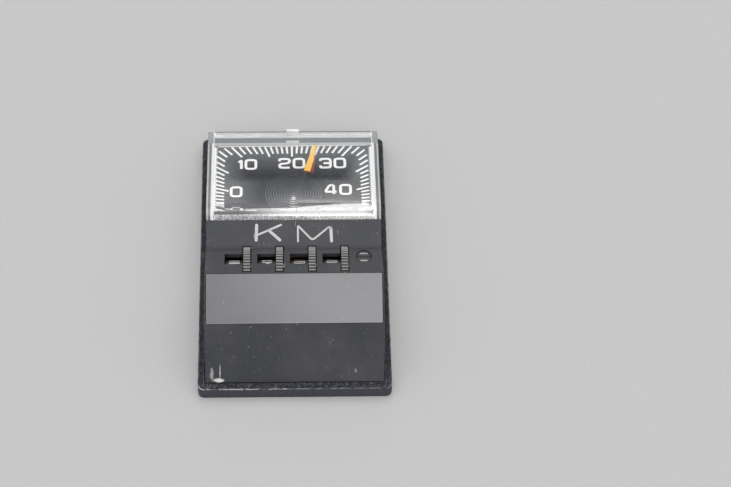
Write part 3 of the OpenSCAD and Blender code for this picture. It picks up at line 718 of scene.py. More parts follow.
def piece_from(bm, name, *materials):
    """An object from a bmesh: its planes stay flat, its rounded edges and small curved faces are smooth."""
    layer = bm.loops.layers.float.get(EDGE_LAYER)
    smooth = []
    for face in bm.faces:
        rounded = layer is not None and any(loop[layer] > 0.0 for loop in face.loops)
        smooth.append(rounded or face.calc_area() < SMALL_FACE)
    mesh = bpy.data.meshes.new(name)
    bm.to_mesh(mesh)
    bm.free()
    mesh.set_sharp_from_angle(angle=SHARP_ANGLE)
    mesh.polygons.foreach_set("use_smooth", smooth)
    for material in materials:
        mesh.materials.append(material)
    return new_object(name, mesh)


def rounded_piece(node, name, width, segments, *materials, pick=None):
    """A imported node's shape with rounded edges."""
    bm = cad_copy(node)
    round_edges(bm, outer_edges(bm, pick), width, segments)
    return piece_from(bm, name, *materials)


def settle(obj, body, slot, *nodes):
    """Lets a finished piece ride on its body and stand for its nodes; its slot is not used."""
    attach(obj, body)
    if nodes:
        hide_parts(*nodes)


def paint_nodes(material, *nodes):
    """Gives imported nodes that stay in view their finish."""
    for node in nodes:
        mesh = frame["nodes"][node].data
        mesh.materials.clear()
        mesh.materials.append(material)


# ---- strokes and figures -----------------------------------------------------------------------------

CORNER_STEPS = 4
SHORTEST_STEP = 1e-7
# The least share of a stroke's width to which a sharp turn may narrow it.
LEAST_TURN = 0.5
# Shares of half a stroke's width at which its round end is cut.
ROUND_END = (0.45, 0.8, 0.97)


def rounded_path(path, radius, closed):
    """A path whose corners are rounded."""
    points = [Vector(point) for point in path]
    count = len(points)
    out = []
    for i, point in enumerate(points):
        if not closed and i in (0, count - 1):
            out.append(point)
            continue
        before, after = points[i - 1] - point, points[(i + 1) % count] - point
        reach = min(radius, before.length / 2, after.length / 2)
        start, end = point + before.normalized() * reach, point + after.normalized() * reach
        for step in range(CORNER_STEPS + 1):
            t = step / CORNER_STEPS
            out.append(start * (1 - t) ** 2 + point * 2 * t * (1 - t) + end * t ** 2)
    return out


def resampled(points, closed, longest):
    """A path with no step longer than given."""
    out = []
    ends = points[1:] + ([points[0]] if closed else [])
    for start, end in zip(points, ends):
        parts = max(1, math.ceil((end - start).length / longest))
        out += [start.lerp(end, k / parts) for k in range(parts)]
    return out if closed else out + [points[-1]]


def add_stroke(bm, path, width, place, height, closed=False, corner=0.0, round_ends=False, longest=1.0):
    """Adds one closed, flat-topped stroke along a path that lies on a surface."""
    points = resampled(rounded_path(path, corner, closed), closed, longest)
    points = [p for i, p in enumerate(points) if i == 0 or (p - points[i - 1]).length > SHORTEST_STEP]
    halves = [width / 2] * len(points)
    if round_ends:
        ends = []
        for tip, inner in ((points[0], points[1]), (points[-1], points[-2])):
            way = (tip - inner).normalized()
            ends.append([tip + way * width / 2 * share for share in ROUND_END])
        caps = [width / 2 * math.sqrt(1 - share ** 2) for share in ROUND_END]
        points = ends[0][::-1] + points + ends[1]
        halves = caps[::-1] + halves + caps
    count = len(points)
    rows = []
    for i, point in enumerate(points):
        before = points[i - 1] if closed or i else point
        after = points[(i + 1) % count] if closed or i < count - 1 else point
        ahead, back = after - point, point - before
        along, turn = ahead + back, 1.0
        if ahead.length and back.length:
            along = ahead.normalized() + back.normalized()
            turn = max(LEAST_TURN, math.cos(ahead.angle(back) / 2))
        along.normalize()
        side = Vector((-along.y, along.x)) * halves[i] / turn
        left, right = point + side, point - side
        corners = ((left, 0.0), (right, 0.0), (right, height), (left, height))
        rows.append([bm.verts.new(place(spot.x, spot.y, z)) for spot, z in corners])
    pairs = list(zip(rows, rows[1:])) + ([(rows[-1], rows[0])] if closed else [])
    faces = []
    for one, two in pairs:
        for k in range(4):
            faces.append(bm.faces.new((one[k], two[k], two[(k + 1) % 4], one[(k + 1) % 4])))
    if not closed:
        faces += [bm.faces.new(rows[0]), bm.faces.new(rows[-1][::-1])]
    bmesh.ops.recalc_face_normals(bm, faces=faces)


# Centre lines of block figures in a cell of width 1 and height 1, with whether each line closes.
FIGURES = {
    "0": [([(0, 0), (1, 0), (1, 1), (0, 1)], True)],
    "1": [([(0, 0.72), (1, 1), (1, 0)], False)],
    "2": [([(0, 0.74), (0, 1), (1, 1), (1, 0.54), (0, 0.42), (0, 0), (1, 0)], False)],
    "3": [([(0, 0.76), (0, 1), (1, 1), (1, 0), (0, 0), (0, 0.24)], False), ([(0.3, 0.5), (1, 0.5)], False)],
    "4": [([(0.78, 1), (0.36, 1), (0, 0.4), (0, 0.26), (1.05, 0.26)], False), ([(0.78, 1), (0.78, 0)], False)],
    "5": [([(1, 1), (0, 1), (0, 0.56), (1, 0.56), (1, 0), (0, 0)], False)],
    "6": [([(1, 1), (0, 1), (0, 0), (1, 0), (1, 0.54), (0, 0.54)], False)],
    "7": [([(0, 1), (1, 1), (0.35, 0)], False)],
    "8": [([(0, 0), (1, 0), (1, 1), (0, 1)], True), ([(0, 0.5), (1, 0.5)], False)],
    "9": [([(1, 0.46), (0, 0.46), (0, 1), (1, 1), (1, 0), (0, 0)], False)],
}


def add_figure(bm, figure, left, low, width, height, stroke, place, thickness, corner, longest=1.0):
    """Adds one figure whose outside fills the given cell."""
    for path, closed in FIGURES[figure]:
        points = [
            (left + stroke / 2 + x * (width - stroke), low + stroke / 2 + y * (height - stroke)) for x, y in path
        ]
        add_stroke(bm, points, stroke, place, thickness, closed, corner, longest=longest)


# ---- geometry node trees -----------------------------------------------------------------------------


def geometry_tree(name, **kinds):
    """An empty geometry tree, whose input names are given by their kinds."""
    inputs = {"Geometry": "Geometry"}
    for kind, names in kinds.items():
        inputs.update((socket_name, kind) for socket_name in names)
    return new_tree(name, "GeometryNodeTree", inputs, {"Geometry": "Geometry"})


def ended(graph, end, geometry, material):
    """Ends a geometry tree with real geometry and its material."""
    solid = graph.out("GeometryNodeRealizeInstances", Geometry=geometry)
    graph.fill(end, Geometry=graph.out("GeometryNodeSetMaterial", Geometry=solid, Material=material))
    return graph.tree


def counted_points(graph, count):
    """Points at the origin, and their index."""
    points = graph.out("GeometryNodeMeshLine", Count=count, Offset=(0.0, 0.0, 0.0))
    return points, graph.out("GeometryNodeInputIndex")


def joined(graph, *parts):
    """Several geometries as one."""
    join = graph.node("GeometryNodeJoinGeometry")
    for part in parts:
        graph.feed(join.inputs[0], part)
    return Value(graph, join.outputs[0])


def grown(obj, tree, values):
    """Gives a geometry tree's named inputs their values, and makes what it grows the object's own mesh."""
    modifier = obj.modifiers.new("growth", "NODES")
    modifier.node_group = tree
    for item in tree.interface.items_tree:
        if item.in_out == "INPUT" and item.name in values:
            modifier[item.identifier] = values[item.name]
    bpy.context.view_layer.update()
    graph = bpy.context.evaluated_depsgraph_get()
    mesh = bpy.data.meshes.new_from_object(obj.evaluated_get(graph), preserve_all_data_layers=True, depsgraph=graph)
    obj.modifiers.clear()
    old, obj.data = obj.data, mesh
    bpy.data.meshes.remove(old)
    mesh.name = obj.name
    return obj


def block_reach(graph, angle, half_width, height, corner):
    """Distance from the axis to a rounded rectangle along an angle."""
    parts = []
    for trig, reach in (("SINE", half_width), ("COSINE", height)):
        parts.append(graph.math("POWER", abs(graph.math(trig, angle)) / reach, corner))
    return graph.math("POWER", parts[0] + parts[1], -1.0 / corner)


def tick_tree():
    """Radial ticks between two rounded rectangles, some of them longer."""
    graph, given, end = geometry_tree(
        "scale_ticks", Int=("Count", "Long Every", "First Long"), Material=("Ink",),
        Float=("Step", "Outer Half Width", "Outer Height", "Inner Half Width", "Inner Height", "Long Step", "Corner",
               "Tick Width", "Print Height"),
    )
    points, index = counted_points(graph, given["Count"])
    angle = (index - (given["Count"] - 1.0) / 2.0) * given["Step"]
    rest = graph.math("FLOORED_MODULO", index - given["First Long"], given["Long Every"])
    longer = graph.math("LESS_THAN", rest, 0.5) * given["Long Step"]
    outer = block_reach(graph, angle, given["Outer Half Width"], given["Outer Height"], given["Corner"])
    inner = block_reach(
        graph, angle, given["Inner Half Width"] - longer, given["Inner Height"] - longer, given["Corner"]
    )
    reach = (outer + inner) * 0.5
    place = graph.vector(
        X=reach * graph.math("SINE", angle), Y=reach * graph.math("COSINE", angle), Z=given["Print Height"] * 0.5
    )
    ticks = graph.out(
        "GeometryNodeInstanceOnPoints",
        Points=graph.out("GeometryNodeSetPosition", Geometry=points, Position=place),
        Instance=graph.out("GeometryNodeMeshCube", Size=(1.0, 1.0, 1.0)),
        Rotation=graph.vector(Z=-angle),
        Scale=graph.vector(X=given["Tick Width"], Y=outer - inner, Z=given["Print Height"]),
    )
    return ended(graph, end, ticks, given["Ink"])


def ring_tree():
    """Flat concentric rings round the origin."""
    graph, given, end = geometry_tree(
        "turned_rings", Int=("Rings",), Material=("Finish",), Float=("Pitch", "Ring Width", "Ring Height")
    )
    points, index = counted_points(graph, given["Rings"])
    radius = (index + 0.5) * given["Pitch"]
    rings = graph.out(
        "GeometryNodeInstanceOnPoints", Points=points,
        Instance=graph.out("GeometryNodeCurvePrimitiveCircle", Resolution=96, Radius=1.0),
        Scale=graph.vector(X=radius, Y=radius, Z=1.0),
    )
    lines = graph.out("GeometryNodeRealizeInstances", Geometry=rings)
    section = graph.out("GeometryNodeCurvePrimitiveCircle", Resolution=8, Radius=given["Ring Width"] * 0.5)
    solid = graph.out("GeometryNodeCurveToMesh", Curve=lines, Profile_Curve=section)
    flat = graph.vector(X=1.0, Y=1.0, Z=given["Ring Height"] / given["Ring Width"])
    solid = graph.out("GeometryNodeTransform", Geometry=solid, Scale=flat)
    return ended(graph, end, solid, given["Finish"])


def tooth_tree():
    """Pointed teeth on a band, one on each given point, turned by the point's own angle."""
    graph, given, end = geometry_tree(
        "wall_teeth", Material=("Finish",),
        Float=("Pitch", "Tooth Width", "Tooth Depth", "Band Width", "Tooth Height"),
    )
    width, depth, height = (given["Tooth " + side] for side in ("Width", "Depth", "Height"))
    tooth = graph.out(
        "GeometryNodeTransform",
        Geometry=graph.out("GeometryNodeMeshCylinder", Vertices=3, Radius=1.0, Depth=1.0),
        Translation=graph.vector(X=depth / 3.0),
        Scale=graph.vector(X=depth / 1.5, Y=width / math.sqrt(3.0), Z=height),
    )
    block = graph.out(
        "GeometryNodeMeshCube", Size=graph.vector(X=given["Band Width"], Y=given["Pitch"], Z=height)
    )
    behind = graph.vector(X=given["Band Width"] * -0.5)
    band = graph.out("GeometryNodeTransform", Geometry=block, Translation=behind)
    angle = graph.out("GeometryNodeInputNamedAttribute", {"data_type": "FLOAT"}, Name="turn")
    row = graph.out(
        "GeometryNodeInstanceOnPoints", Points=given["Geometry"], Instance=joined(graph, tooth, band),
        Rotation=graph.vector(Z=angle),
    )
    return ended(graph, end, row, given["Finish"])


def knurl_tree():
    """Round ribs across the rim of a wheel that turns about X, joined to the wheel's core."""
    graph, given, end = geometry_tree(
        "knurled_rim", Int=("Ribs",), Material=("Plastic",), Vector=("Middle",),
        Float=("Rim Radius", "Rib Radius", "Rib Height", "Rib Length"),
    )
    points, index = counted_points(graph, given["Ribs"])
    angle = index * (2.0 * math.pi / given["Ribs"])
    around = graph.vector(
        Y=given["Rim Radius"] * graph.math("SINE", angle), Z=given["Rim Radius"] * graph.math("COSINE", angle)
    )
    rib = graph.out("GeometryNodeMeshCylinder", Vertices=14, Radius=given["Rib Radius"], Depth=given["Rib Length"])
    ribs = graph.out(
        "GeometryNodeInstanceOnPoints",
        Points=graph.out("GeometryNodeSetPosition", Geometry=points, Position=around, Offset=given["Middle"]),
        Instance=graph.out("GeometryNodeTransform", Geometry=rib, Rotation=(0.0, math.pi / 2, 0.0)),
        Rotation=graph.vector(X=-angle),
        Scale=graph.vector(X=1.0, Y=1.0, Z=given["Rib Height"] / given["Rib Radius"]),
    )
    ribs = graph.out("GeometryNodeRealizeInstances", Geometry=ribs)
    return ended(graph, end, joined(graph, ribs, given["Geometry"]), given["Plastic"])


# ---- operators ---------------------------------------------------------------------------------------


class GaugeOperator:
    """What the operators share: the sizes and colours of the scene."""

    bl_options = {"REGISTER"}

    def execute(self, context):
        self.build(context.scene.gauge_sizes, context.scene.gauge_colours)
        return {"FINISHED"}


class GAUGE_OT_base_plate(GaugeOperator, bpy.types.Operator):
    """Builds the base plate with rounded rims, and its foam pads"""

    bl_idname = "gauge.base_plate"
    bl_label = "Base Plate and Pads"

    # Edges as near to the outline as this, and as level as this, belong to the rim.
    RIM_REACH = 1.6 * MM
    LEVEL = 0.01 * MM

    def build(self, sizes, colours):
        low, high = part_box("base_plate")

        def on_rim(middle, edge):
            reach = min(middle.x - low.x, high.x - middle.x, middle.y - low.y, high.y - middle.y)
            return reach < self.RIM_REACH and abs(edge.verts[0].co.z - edge.verts[1].co.z) < self.LEVEL

        dull = finish_of(
            moulded_material, "dull_black", colours, scaled(colours.plastic, 0.8), roughness=0.62,
            finish=base_finish, specular=0.25, specks=1.0,
        )
        base = rounded_piece("base_plate", "base_tray", sizes.rim_edge, BROAD, dull, pick=on_rim)
        settle(base, "case", "black_plastic", "base_plate")

        foam = finish_of(foam_material, "closed_cell_foam", colours)
        pads = rounded_piece("mounting_pads", "adhesive_pads", sizes.fine_edge, FINE, foam)
        settle(pads, "case", "pad_foam", "mounting_pads")


class GAUGE_OT_housing(GaugeOperator, bpy.types.Operator):
    """Builds the housing with rounded edges, worn pale and lit by a painted highlight"""

    bl_idname = "gauge.housing"
    bl_label = "Housing"

    # Only edges that are longer and higher than these are rounded.
    LEAST_LENGTH = 6.0 * MM
    LEAST_HEIGHT = 3.0 * MM

    def build(self, sizes, colours):
        def long_edge(middle, edge):
            return edge.calc_length() > self.LEAST_LENGTH and middle.z > self.LEAST_HEIGHT

        black = finish_of(
            moulded_material, "moulded_black", colours, colours.plastic, roughness=0.44, finish=housing_finish
        )
        housing = rounded_piece("housing_shell", "housing_body", sizes.body_edge, BROAD, black, pick=long_edge)
        settle(housing, "case", "black_plastic", "housing_shell")


class GAUGE_OT_name_plate(GaugeOperator, bpy.types.Operator):
    """Builds the bare satin grey plate in the slope"""

    bl_idname = "gauge.name_plate"
    bl_label = "Grey Plate"

    def build(self, sizes, colours):
        grey = finish_of(plate_material, "satin_grey_paint", colours)
        plate = rounded_piece("name_plate", "grey_plate", sizes.fine_edge, FINE, grey)
        settle(plate, "case", "satin_grey", "name_plate")


class GAUGE_OT_window(GaugeOperator, bpy.types.Operator):
    """Builds the clear cover, the teeth of its side walls and its turned rings"""

    bl_idname = "gauge.window"
    bl_label = "Clear Cover"

    # The far wall's flutes, from their crests to their roots, and the side walls', to just past their roots.
    FAR_FLUTES = (31.7 * MM, 32.225 * MM)
    SIDE_FLUTES = (19.3 * MM, 19.8 * MM)
    # The outer near wall lies before the first line, and the nubs of the far wall lie beyond the second.
    NEAR_Y = 5.0 * MM
    NUB_Y = 33.45 * MM
    # Points of the feet lie lower than this, and are lifted a little off the deck.
    FOOT_RISE = -0.9 * MM
    FOOT_LIFT = 0.03 * MM
    # Faces of the feet lie lower than this.
    FOOT_TOP = 1.0 * MM
    # Parts of a face's normal: at least these where it lies along the dial or faces a side, and at most the last
    # where it stands upright.
    ALONG_DIAL = 0.9999
    FACING = 0.99
    UPRIGHT = 0.002
    # Height of the cover's underside above the dial, the reach of the ring field in it, and the rings' height.
    CEILING = 3.0 * MM
    RING_FIELD = 7.3 * MM
    RING_RISE = 2.97 * MM
    # Rows of teeth: count, where their roots stand, the first one from the pointer's axis, and their height.
    TEETH = 36
    TOOTH_X = 19.02 * MM
    TOOTH_Y = -4.3 * MM
    TOOTH_RISE = 0.08 * MM

    def build(self, sizes, colours):
        clear = finish_of(clear_material, "clear_acrylic", colours)
        fluted = finish_of(fluted_material, "fluted_acrylic", colours)
        self.cover(clear, fluted)
        self.teeth(sizes, fluted)
        rings = grown(new_object("cover_rings", bpy.data.meshes.new("cover_rings")), ring_tree(), {
            "Rings": sizes.ring_count, "Pitch": sizes.ring_pitch, "Ring Width": sizes.ring_width,
            "Ring Height": sizes.ring_height, "Finish": finish_of(ring_material, "ring_acrylic", colours),
        })
        rings.data.transform(dial_matrix(0, RING_BACK, self.RING_RISE))
        settle(rings, "case", "clear_plastic")

    def cover(self, clear, fluted):
        """The cover with plain far and side walls and a flat underside; some faces take the painted light of the
        walls.
        """
        bm = cad_copy("window_cover", join_flats=False)
        field = on_dial(0, RING_BACK, self.CEILING)
        for vert in bm.verts:
            if rise_of(vert.co) < self.FOOT_RISE:
                vert.co += DIAL_NORMAL * self.FOOT_LIFT
            if self.FAR_FLUTES[0] < vert.co.y < self.FAR_FLUTES[1]:
                vert.co += DIAL_UP * ((self.FAR_FLUTES[1] - vert.co.y) / DIAL_UP.y)
            if self.SIDE_FLUTES[0] < abs(vert.co.x) < self.SIDE_FLUTES[1]:
                vert.co.x = math.copysign(self.SIDE_FLUTES[0], vert.co.x)
            rise = rise_of(vert.co)
            if (vert.co - field).length < self.RING_FIELD and rise > self.CEILING:
                vert.co -= DIAL_NORMAL * (rise - self.CEILING)
        bmesh.ops.dissolve_degenerate(bm, dist=MERGE_DISTANCE, edges=bm.edges)
        cover = piece_from(bm, "clear_cover", clear, fluted)
        for face in cover.data.polygons:
            lean = face.normal.dot(DIAL_NORMAL)
            face.use_smooth = abs(lean) < self.ALONG_DIAL and abs(face.normal.z) >= self.UPRIGHT
            foot = lean < -self.FACING and rise_of(face.center) < self.FOOT_TOP
            near_or_far = face.center.y < self.NEAR_Y or face.center.y > self.FAR_FLUTES[0]
            wall = face.normal.y < -self.FACING and near_or_far
            if foot or wall or face.center.y > self.NUB_Y:
                face.material_index = 1
        settle(cover, "case", "clear_plastic", "window_cover")

    def teeth(self, sizes, fluted):
        """Rows of teeth at the foot of the side walls, just above the dial, in the painted light of the walls."""
        points, turns = [], []
        for k in range(self.TEETH):
            for side, turn in ((-1, 0.0), (1, math.pi)):
                points.append((side * self.TOOTH_X, self.TOOTH_Y + k * FLUTE_STEP, 0.0))
                turns.append(turn)
        mesh = bpy.data.meshes.new("cover_teeth")
        mesh.from_pydata(points, [], [])
        mesh.attributes.new("turn", "FLOAT", "POINT").data.foreach_set("value", turns)
        row = grown(new_object("cover_teeth", mesh), tooth_tree(), {
            "Pitch": FLUTE_STEP, "Tooth Width": sizes.tooth_width, "Tooth Depth": sizes.tooth_depth,
            "Band Width": sizes.tooth_band, "Tooth Height": sizes.tooth_height, "Finish": fluted,
        })
        row.data.transform(dial_matrix(0, 0, self.TOOTH_RISE))
        settle(row, "case", "clear_plastic")


class GAUGE_OT_dial(GaugeOperator, bpy.types.Operator):
    """Prints the scale's ticks and figures on the dial"""

    bl_idname = "gauge.dial"
    bl_label = "Dial and Print"

    # The print sits a little askew on the dial.
    TURN = math.radians(0.5)
    SHIFT = -0.12 * MM
    FIRST_READING = -8
    LONG_EVERY = 5
    # Half widths and heights of the rounded rectangles between which the ticks run, and how square they are.
    OUTER = (18.6 * MM, 20.4 * MM)
    INNER = (16.6 * MM, 17.95 * MM)
    SQUARENESS = 14.0
    # Text, left edge and low edge on the dial, in millimetres.
    LABELS = [("10", -13.55, 12.35), ("20", -3.55, 12.6), ("30", 6.5, 12.5), ("0", -15.4, 2.85), ("40", 7.6, 3.2)]
    NARROW_ONE = 0.42
    FIGURE_GAP = 0.42 * MM
    FIGURE_CORNER = 0.75 * MM
    # The thin line above the scale.
    LINE = [(-18.3 * MM, 20.66 * MM), (18.6 * MM, 20.66 * MM)]
    LINE_WIDTH = 0.3 * MM

    def build(self, sizes, colours):
        black = finish_of(paint_material, "dial_paint", colours.dial, roughness=0.6, specular=0.12)
        paint_nodes(black, "dial_plate")
        ink = finish_of(paint_material, "white_print", colours.white_print, roughness=0.5, vary=0.04)
        place = dial_matrix(0, 0, 0) @ Matrix.Rotation(self.TURN, 4, "Z") @ Matrix.Translation((self.SHIFT, 0, 0))

        ticks = grown(new_object("scale_ticks", bpy.data.meshes.new("scale_ticks")), tick_tree(), {
            "Count": sizes.tick_count, "Long Every": self.LONG_EVERY,
            "First Long": -self.FIRST_READING % self.LONG_EVERY, "Ink": ink, "Step": sizes.tick_step,
            "Outer Half Width": self.OUTER[0], "Outer Height": self.OUTER[1],
            "Inner Half Width": self.INNER[0], "Inner Height": self.INNER[1], "Corner": self.SQUARENESS,
            "Long Step": sizes.long_tick, "Tick Width": sizes.tick_width, "Print Height": sizes.print_height,
        })
        ticks.data.transform(place)
        settle(ticks, "case", "dial_black")

        def on_print(x, y, z):
            return place @ Vector((x, y, z))

        bm = bmesh.new()
        for text, left, low in self.LABELS:
            x = left * MM - self.SHIFT
            for figure in text:
                width = sizes.figure_width * (self.NARROW_ONE if figure == "1" else 1.0)
                add_figure(
                    bm, figure, x, low * MM, width, sizes.figure_height, sizes.figure_stroke, on_print,
                    sizes.print_height, self.FIGURE_CORNER,
                )
                x += width + self.FIGURE_GAP
        add_stroke(bm, self.LINE, self.LINE_WIDTH, on_print, sizes.print_height)
        settle(piece_from(bm, "scale_figures", ink), "case", "dial_black")


class GAUGE_OT_pointer(GaugeOperator, bpy.types.Operator):
    """Paints the pointer's arm, and its flag with a flank in painted shade"""

    bl_idname = "gauge.pointer"
    bl_label = "Pointer"

    REST_ANGLE = math.radians(13.9)
    LEAST_LENGTH = 2.0 * MM
    # Faces of the flag that lean more than this take the painted shade of the flank.
    LEAST_LEAN = 0.3
    FLANK_THICKNESS = 0.08 * MM
    # Corners of the turned-down side, with the pointer pointing along Y, in millimetres.
    FLANK = [(1.72, 9.65, 2.5), (2.55, 9.95, 1.75), (1.95, 14.6, 2.2), (1.5, 16.8, 2.5)]

    def build(self, sizes, colours):
        paint_nodes(finish_of(paint_material, "pointer_paint", colours.arm, roughness=0.55), "pointer_arm")
        orange = finish_of(paint_material, "orange_paint", colours.orange, roughness=0.4, vary=0.05)
        # The flank takes the orange in painted shade.
        red = finish_of(paint_material, "flank_red", colours.red, roughness=0.45, vary=0.05)
        flag = rounded_piece(
            "pointer_flag", "orange_flag", sizes.flag_edge, FINE, orange, red,
            pick=lambda middle, edge: edge.calc_length() > self.LEAST_LENGTH,
        )
        for face in flag.data.polygons:
            if face.normal.dot(DIAL_NORMAL) < self.LEAST_LEAN:
                face.material_index = 1
        settle(flag, "pointer", "signal_orange", "pointer_flag")

        # The turned-down side, in painted shade.
        turn = Matrix.Rotation(-self.REST_ANGLE, 3, "Z")
        bm = bmesh.new()
        top, under = (
            [bm.verts.new(on_dial(*(turn @ Vector((x * MM, y * MM, z * MM - sink))))) for x, y, z in self.FLANK]
            for sink in (0.0, self.FLANK_THICKNESS)
        )
        bm.faces.new(top)
        bm.faces.new(under[::-1])
        for k in range(len(top)):
            after = (k + 1) % len(top)
            bm.faces.new((top[k], under[k], under[after], top[after]))
        bmesh.ops.recalc_face_normals(bm, faces=bm.faces)
        settle(piece_from(bm, "flag_flank", red), "pointer", "signal_orange")


class GAUGE_OT_wheels(GaugeOperator, bpy.types.Operator):
    """Builds the four knurled wheels with their figure drums"""

    bl_idname = "gauge.wheels"
    bl_label = "Distance Wheels"

    SEGMENTS = 72
    # Width of the turned edges, and how far the core's rim and the ribs' middles lie inside the rim.
    TURNED_EDGE = 0.12 * MM
    CORE_INSET = 0.42 * MM
    RIB_INSET = 0.41 * MM
    RIB_SHORTER = 0.14 * MM
    # Figure in each window, and how far its middle stands behind the drum's top, in millimetres.
    SHOWN = [(2, -0.06), (7, -0.02), (0, 0.15), (0, 0.32)]
    FIGURE_W = 2.6 * MM
    FIGURE_H = 0.62 * MM
    STROKE = 0.15 * MM
    PRINT_HEIGHT = 0.015 * MM
    FIGURE_CORNER = 0.25 * MM
    LONGEST_STEP = 0.12 * MM

    def core(self, x, drum_w):
        """Drum, disc and bore of one wheel as a turned solid."""
        edge = self.TURNED_EDGE
        rim_r = WHEEL_R - self.CORE_INSET
        left, right = x + drum_w, x + drum_w + RIM_W
        profile = [
            (x, BORE_R), (x, DRUM_R - edge), (x + edge, DRUM_R), (left, DRUM_R), (left, rim_r - 2 * edge),
            (left + edge, rim_r), (right - edge, rim_r), (right, rim_r - 2 * edge), (right, BORE_R),
        ]
        bm = bmesh.new()
        bm.loops.layers.float.new(EDGE_LAYER)
        rings = []
        for k in range(self.SEGMENTS):
            angle = 2 * math.pi * k / self.SEGMENTS
            rings.append([bm.verts.new(round_axle(px, radius, angle)) for px, radius in profile])
        for one, two in zip(rings, rings[1:] + rings[:1]):
            for k in range(len(profile)):
                after = (k + 1) % len(profile)
                bm.faces.new((one[k], two[k], two[after], one[after]))
        bmesh.ops.recalc_face_normals(bm, faces=bm.faces)
        return bm

    def figures(self, x, drum_w, shown, back):
        """The ten figures round one drum."""
        bm = bmesh.new()
        left = x + (drum_w - self.FIGURE_W) / 2
        for figure in range(10):
            low = back * MM - self.FIGURE_H / 2 + (figure - shown) * 2 * math.pi * DRUM_R / 10
            add_figure(
                bm, str(figure), left, low, self.FIGURE_W, self.FIGURE_H, self.STROKE, on_drum, self.PRINT_HEIGHT,
                self.FIGURE_CORNER, longest=self.LONGEST_STEP,
            )
        return bm

    def build(self, sizes, colours):
        plastic = finish_of(
            moulded_material, "wheel_plastic", colours, colours.wheel, roughness=0.45, finish=wheel_finish,
            film=0.35, specks=0.3, scratches=0.2,
        )
        ink = finish_of(paint_material, "drum_print", colours.white_print, roughness=0.5, vary=0.04)
        tree = knurl_tree()
        for number, (shown, back) in enumerate(self.SHOWN, 1):
            body, node = f"wheel_{number}", f"number_wheel_{number}"
            low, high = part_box(node)
            x, drum_w = low.x, high.x - RIM_W - low.x
            wheel = grown(piece_from(self.core(x, drum_w), body + "_knurled", plastic), tree, {
                "Ribs": sizes.rib_count, "Plastic": plastic, "Rim Radius": WHEEL_R - self.RIB_INSET,
                "Rib Radius": sizes.rib_radius, "Rib Height": sizes.rib_height,
                "Rib Length": RIM_W - self.RIB_SHORTER, "Middle": AXLE + Vector((x + drum_w + RIM_W / 2, 0, 0)),
            })
            wheel.data.set_sharp_from_angle(angle=SHARP_ANGLE)
            settle(wheel, body, "black_plastic", node)
            settle(piece_from(self.figures(x, drum_w, shown, back), body + "_figures", ink), body, "black_plastic")


class GAUGE_OT_unit_letters(GaugeOperator, bpy.types.Operator):
    """Draws the generic kilometre letters on the riser"""

    bl_idname = "gauge.unit_letters"
    bl_label = "Unit Letters"

    HEIGHT = 0.04 * MM
    CORNER = 0.35 * MM
    # Width of each stroke as a share of the full stroke, and its path in millimetres from the riser's foot.
    STROKES = [
        (1.0, [(-8.98, 1.95), (-8.85, 5.5)]),
        (0.66, [(-8.6, 3.2), (-3.05, 5.55)]),
        (0.95, [(-5.95, 4.25), (-3.35, 1.95)]),
        (0.6, [(0.98, 1.6), (0.98, 5.35), (4.15, 2.1), (4.75, 2.1), (8.2, 4.85)]),
        (1.0, [(8.85, 4.7), (8.98, 1.65)]),
        (0.7, [(7.9, 4.65), (8.45, 4.95), (8.85, 4.75)]),
    ]

    def build(self, sizes, colours):
        silver = finish_of(paint_material, "silver_paint", colours.silver, roughness=0.38, vary=0.1)
        bm = bmesh.new()
        for share, stroke in self.STROKES:
            path = [(x * MM, y * MM) for x, y in stroke]
            width = sizes.unit_stroke * share
            add_stroke(bm, path, width, on_riser, self.HEIGHT, corner=self.CORNER, round_ends=True)
        settle(piece_from(bm, "unit_letters", silver), "case", "black_plastic")


class GAUGE_OT_fasteners(GaugeOperator, bpy.types.Operator):
    """Builds the slotted housing screw and paints the inner fasteners"""

    bl_idname = "gauge.fasteners"
    bl_label = "Screws and Rivets"

    def build(self, sizes, colours):
        low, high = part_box("housing_screw")
        dark = finish_of(screw_material, "blackened_steel", colours, (low + high) / 2)
        screw = rounded_piece("housing_screw", "slotted_screw", sizes.screw_edge, FINE, dark)
        settle(screw, "case", "steel", "housing_screw")
        steel = finish_of(metal_material, "bright_steel", colours.steel, roughness=0.3)
        paint_nodes(steel, "bridge_screws", "brake_rivets", "wheel_axle", "coil_anchor", "pointer_arbor")


class GAUGE_OT_movement(GaugeOperator, bpy.types.Operator):
    """Paints the brass of the movement and the brake"""

    bl_idname = "gauge.movement"
    bl_label = "Movement"

    def build(self, sizes, colours):
        brass = finish_of(metal_material, "turned_brass", colours.brass, roughness=0.28)
        paint_nodes(brass, "movement_bridge", "lower_bush", "coil_collet", "bimetal_coil", "brake_spring")
        dark = finish_of(metal_material, "blackened_brass", colours.dark_brass, roughness=0.45)
        paint_nodes(dark, "upper_bush")


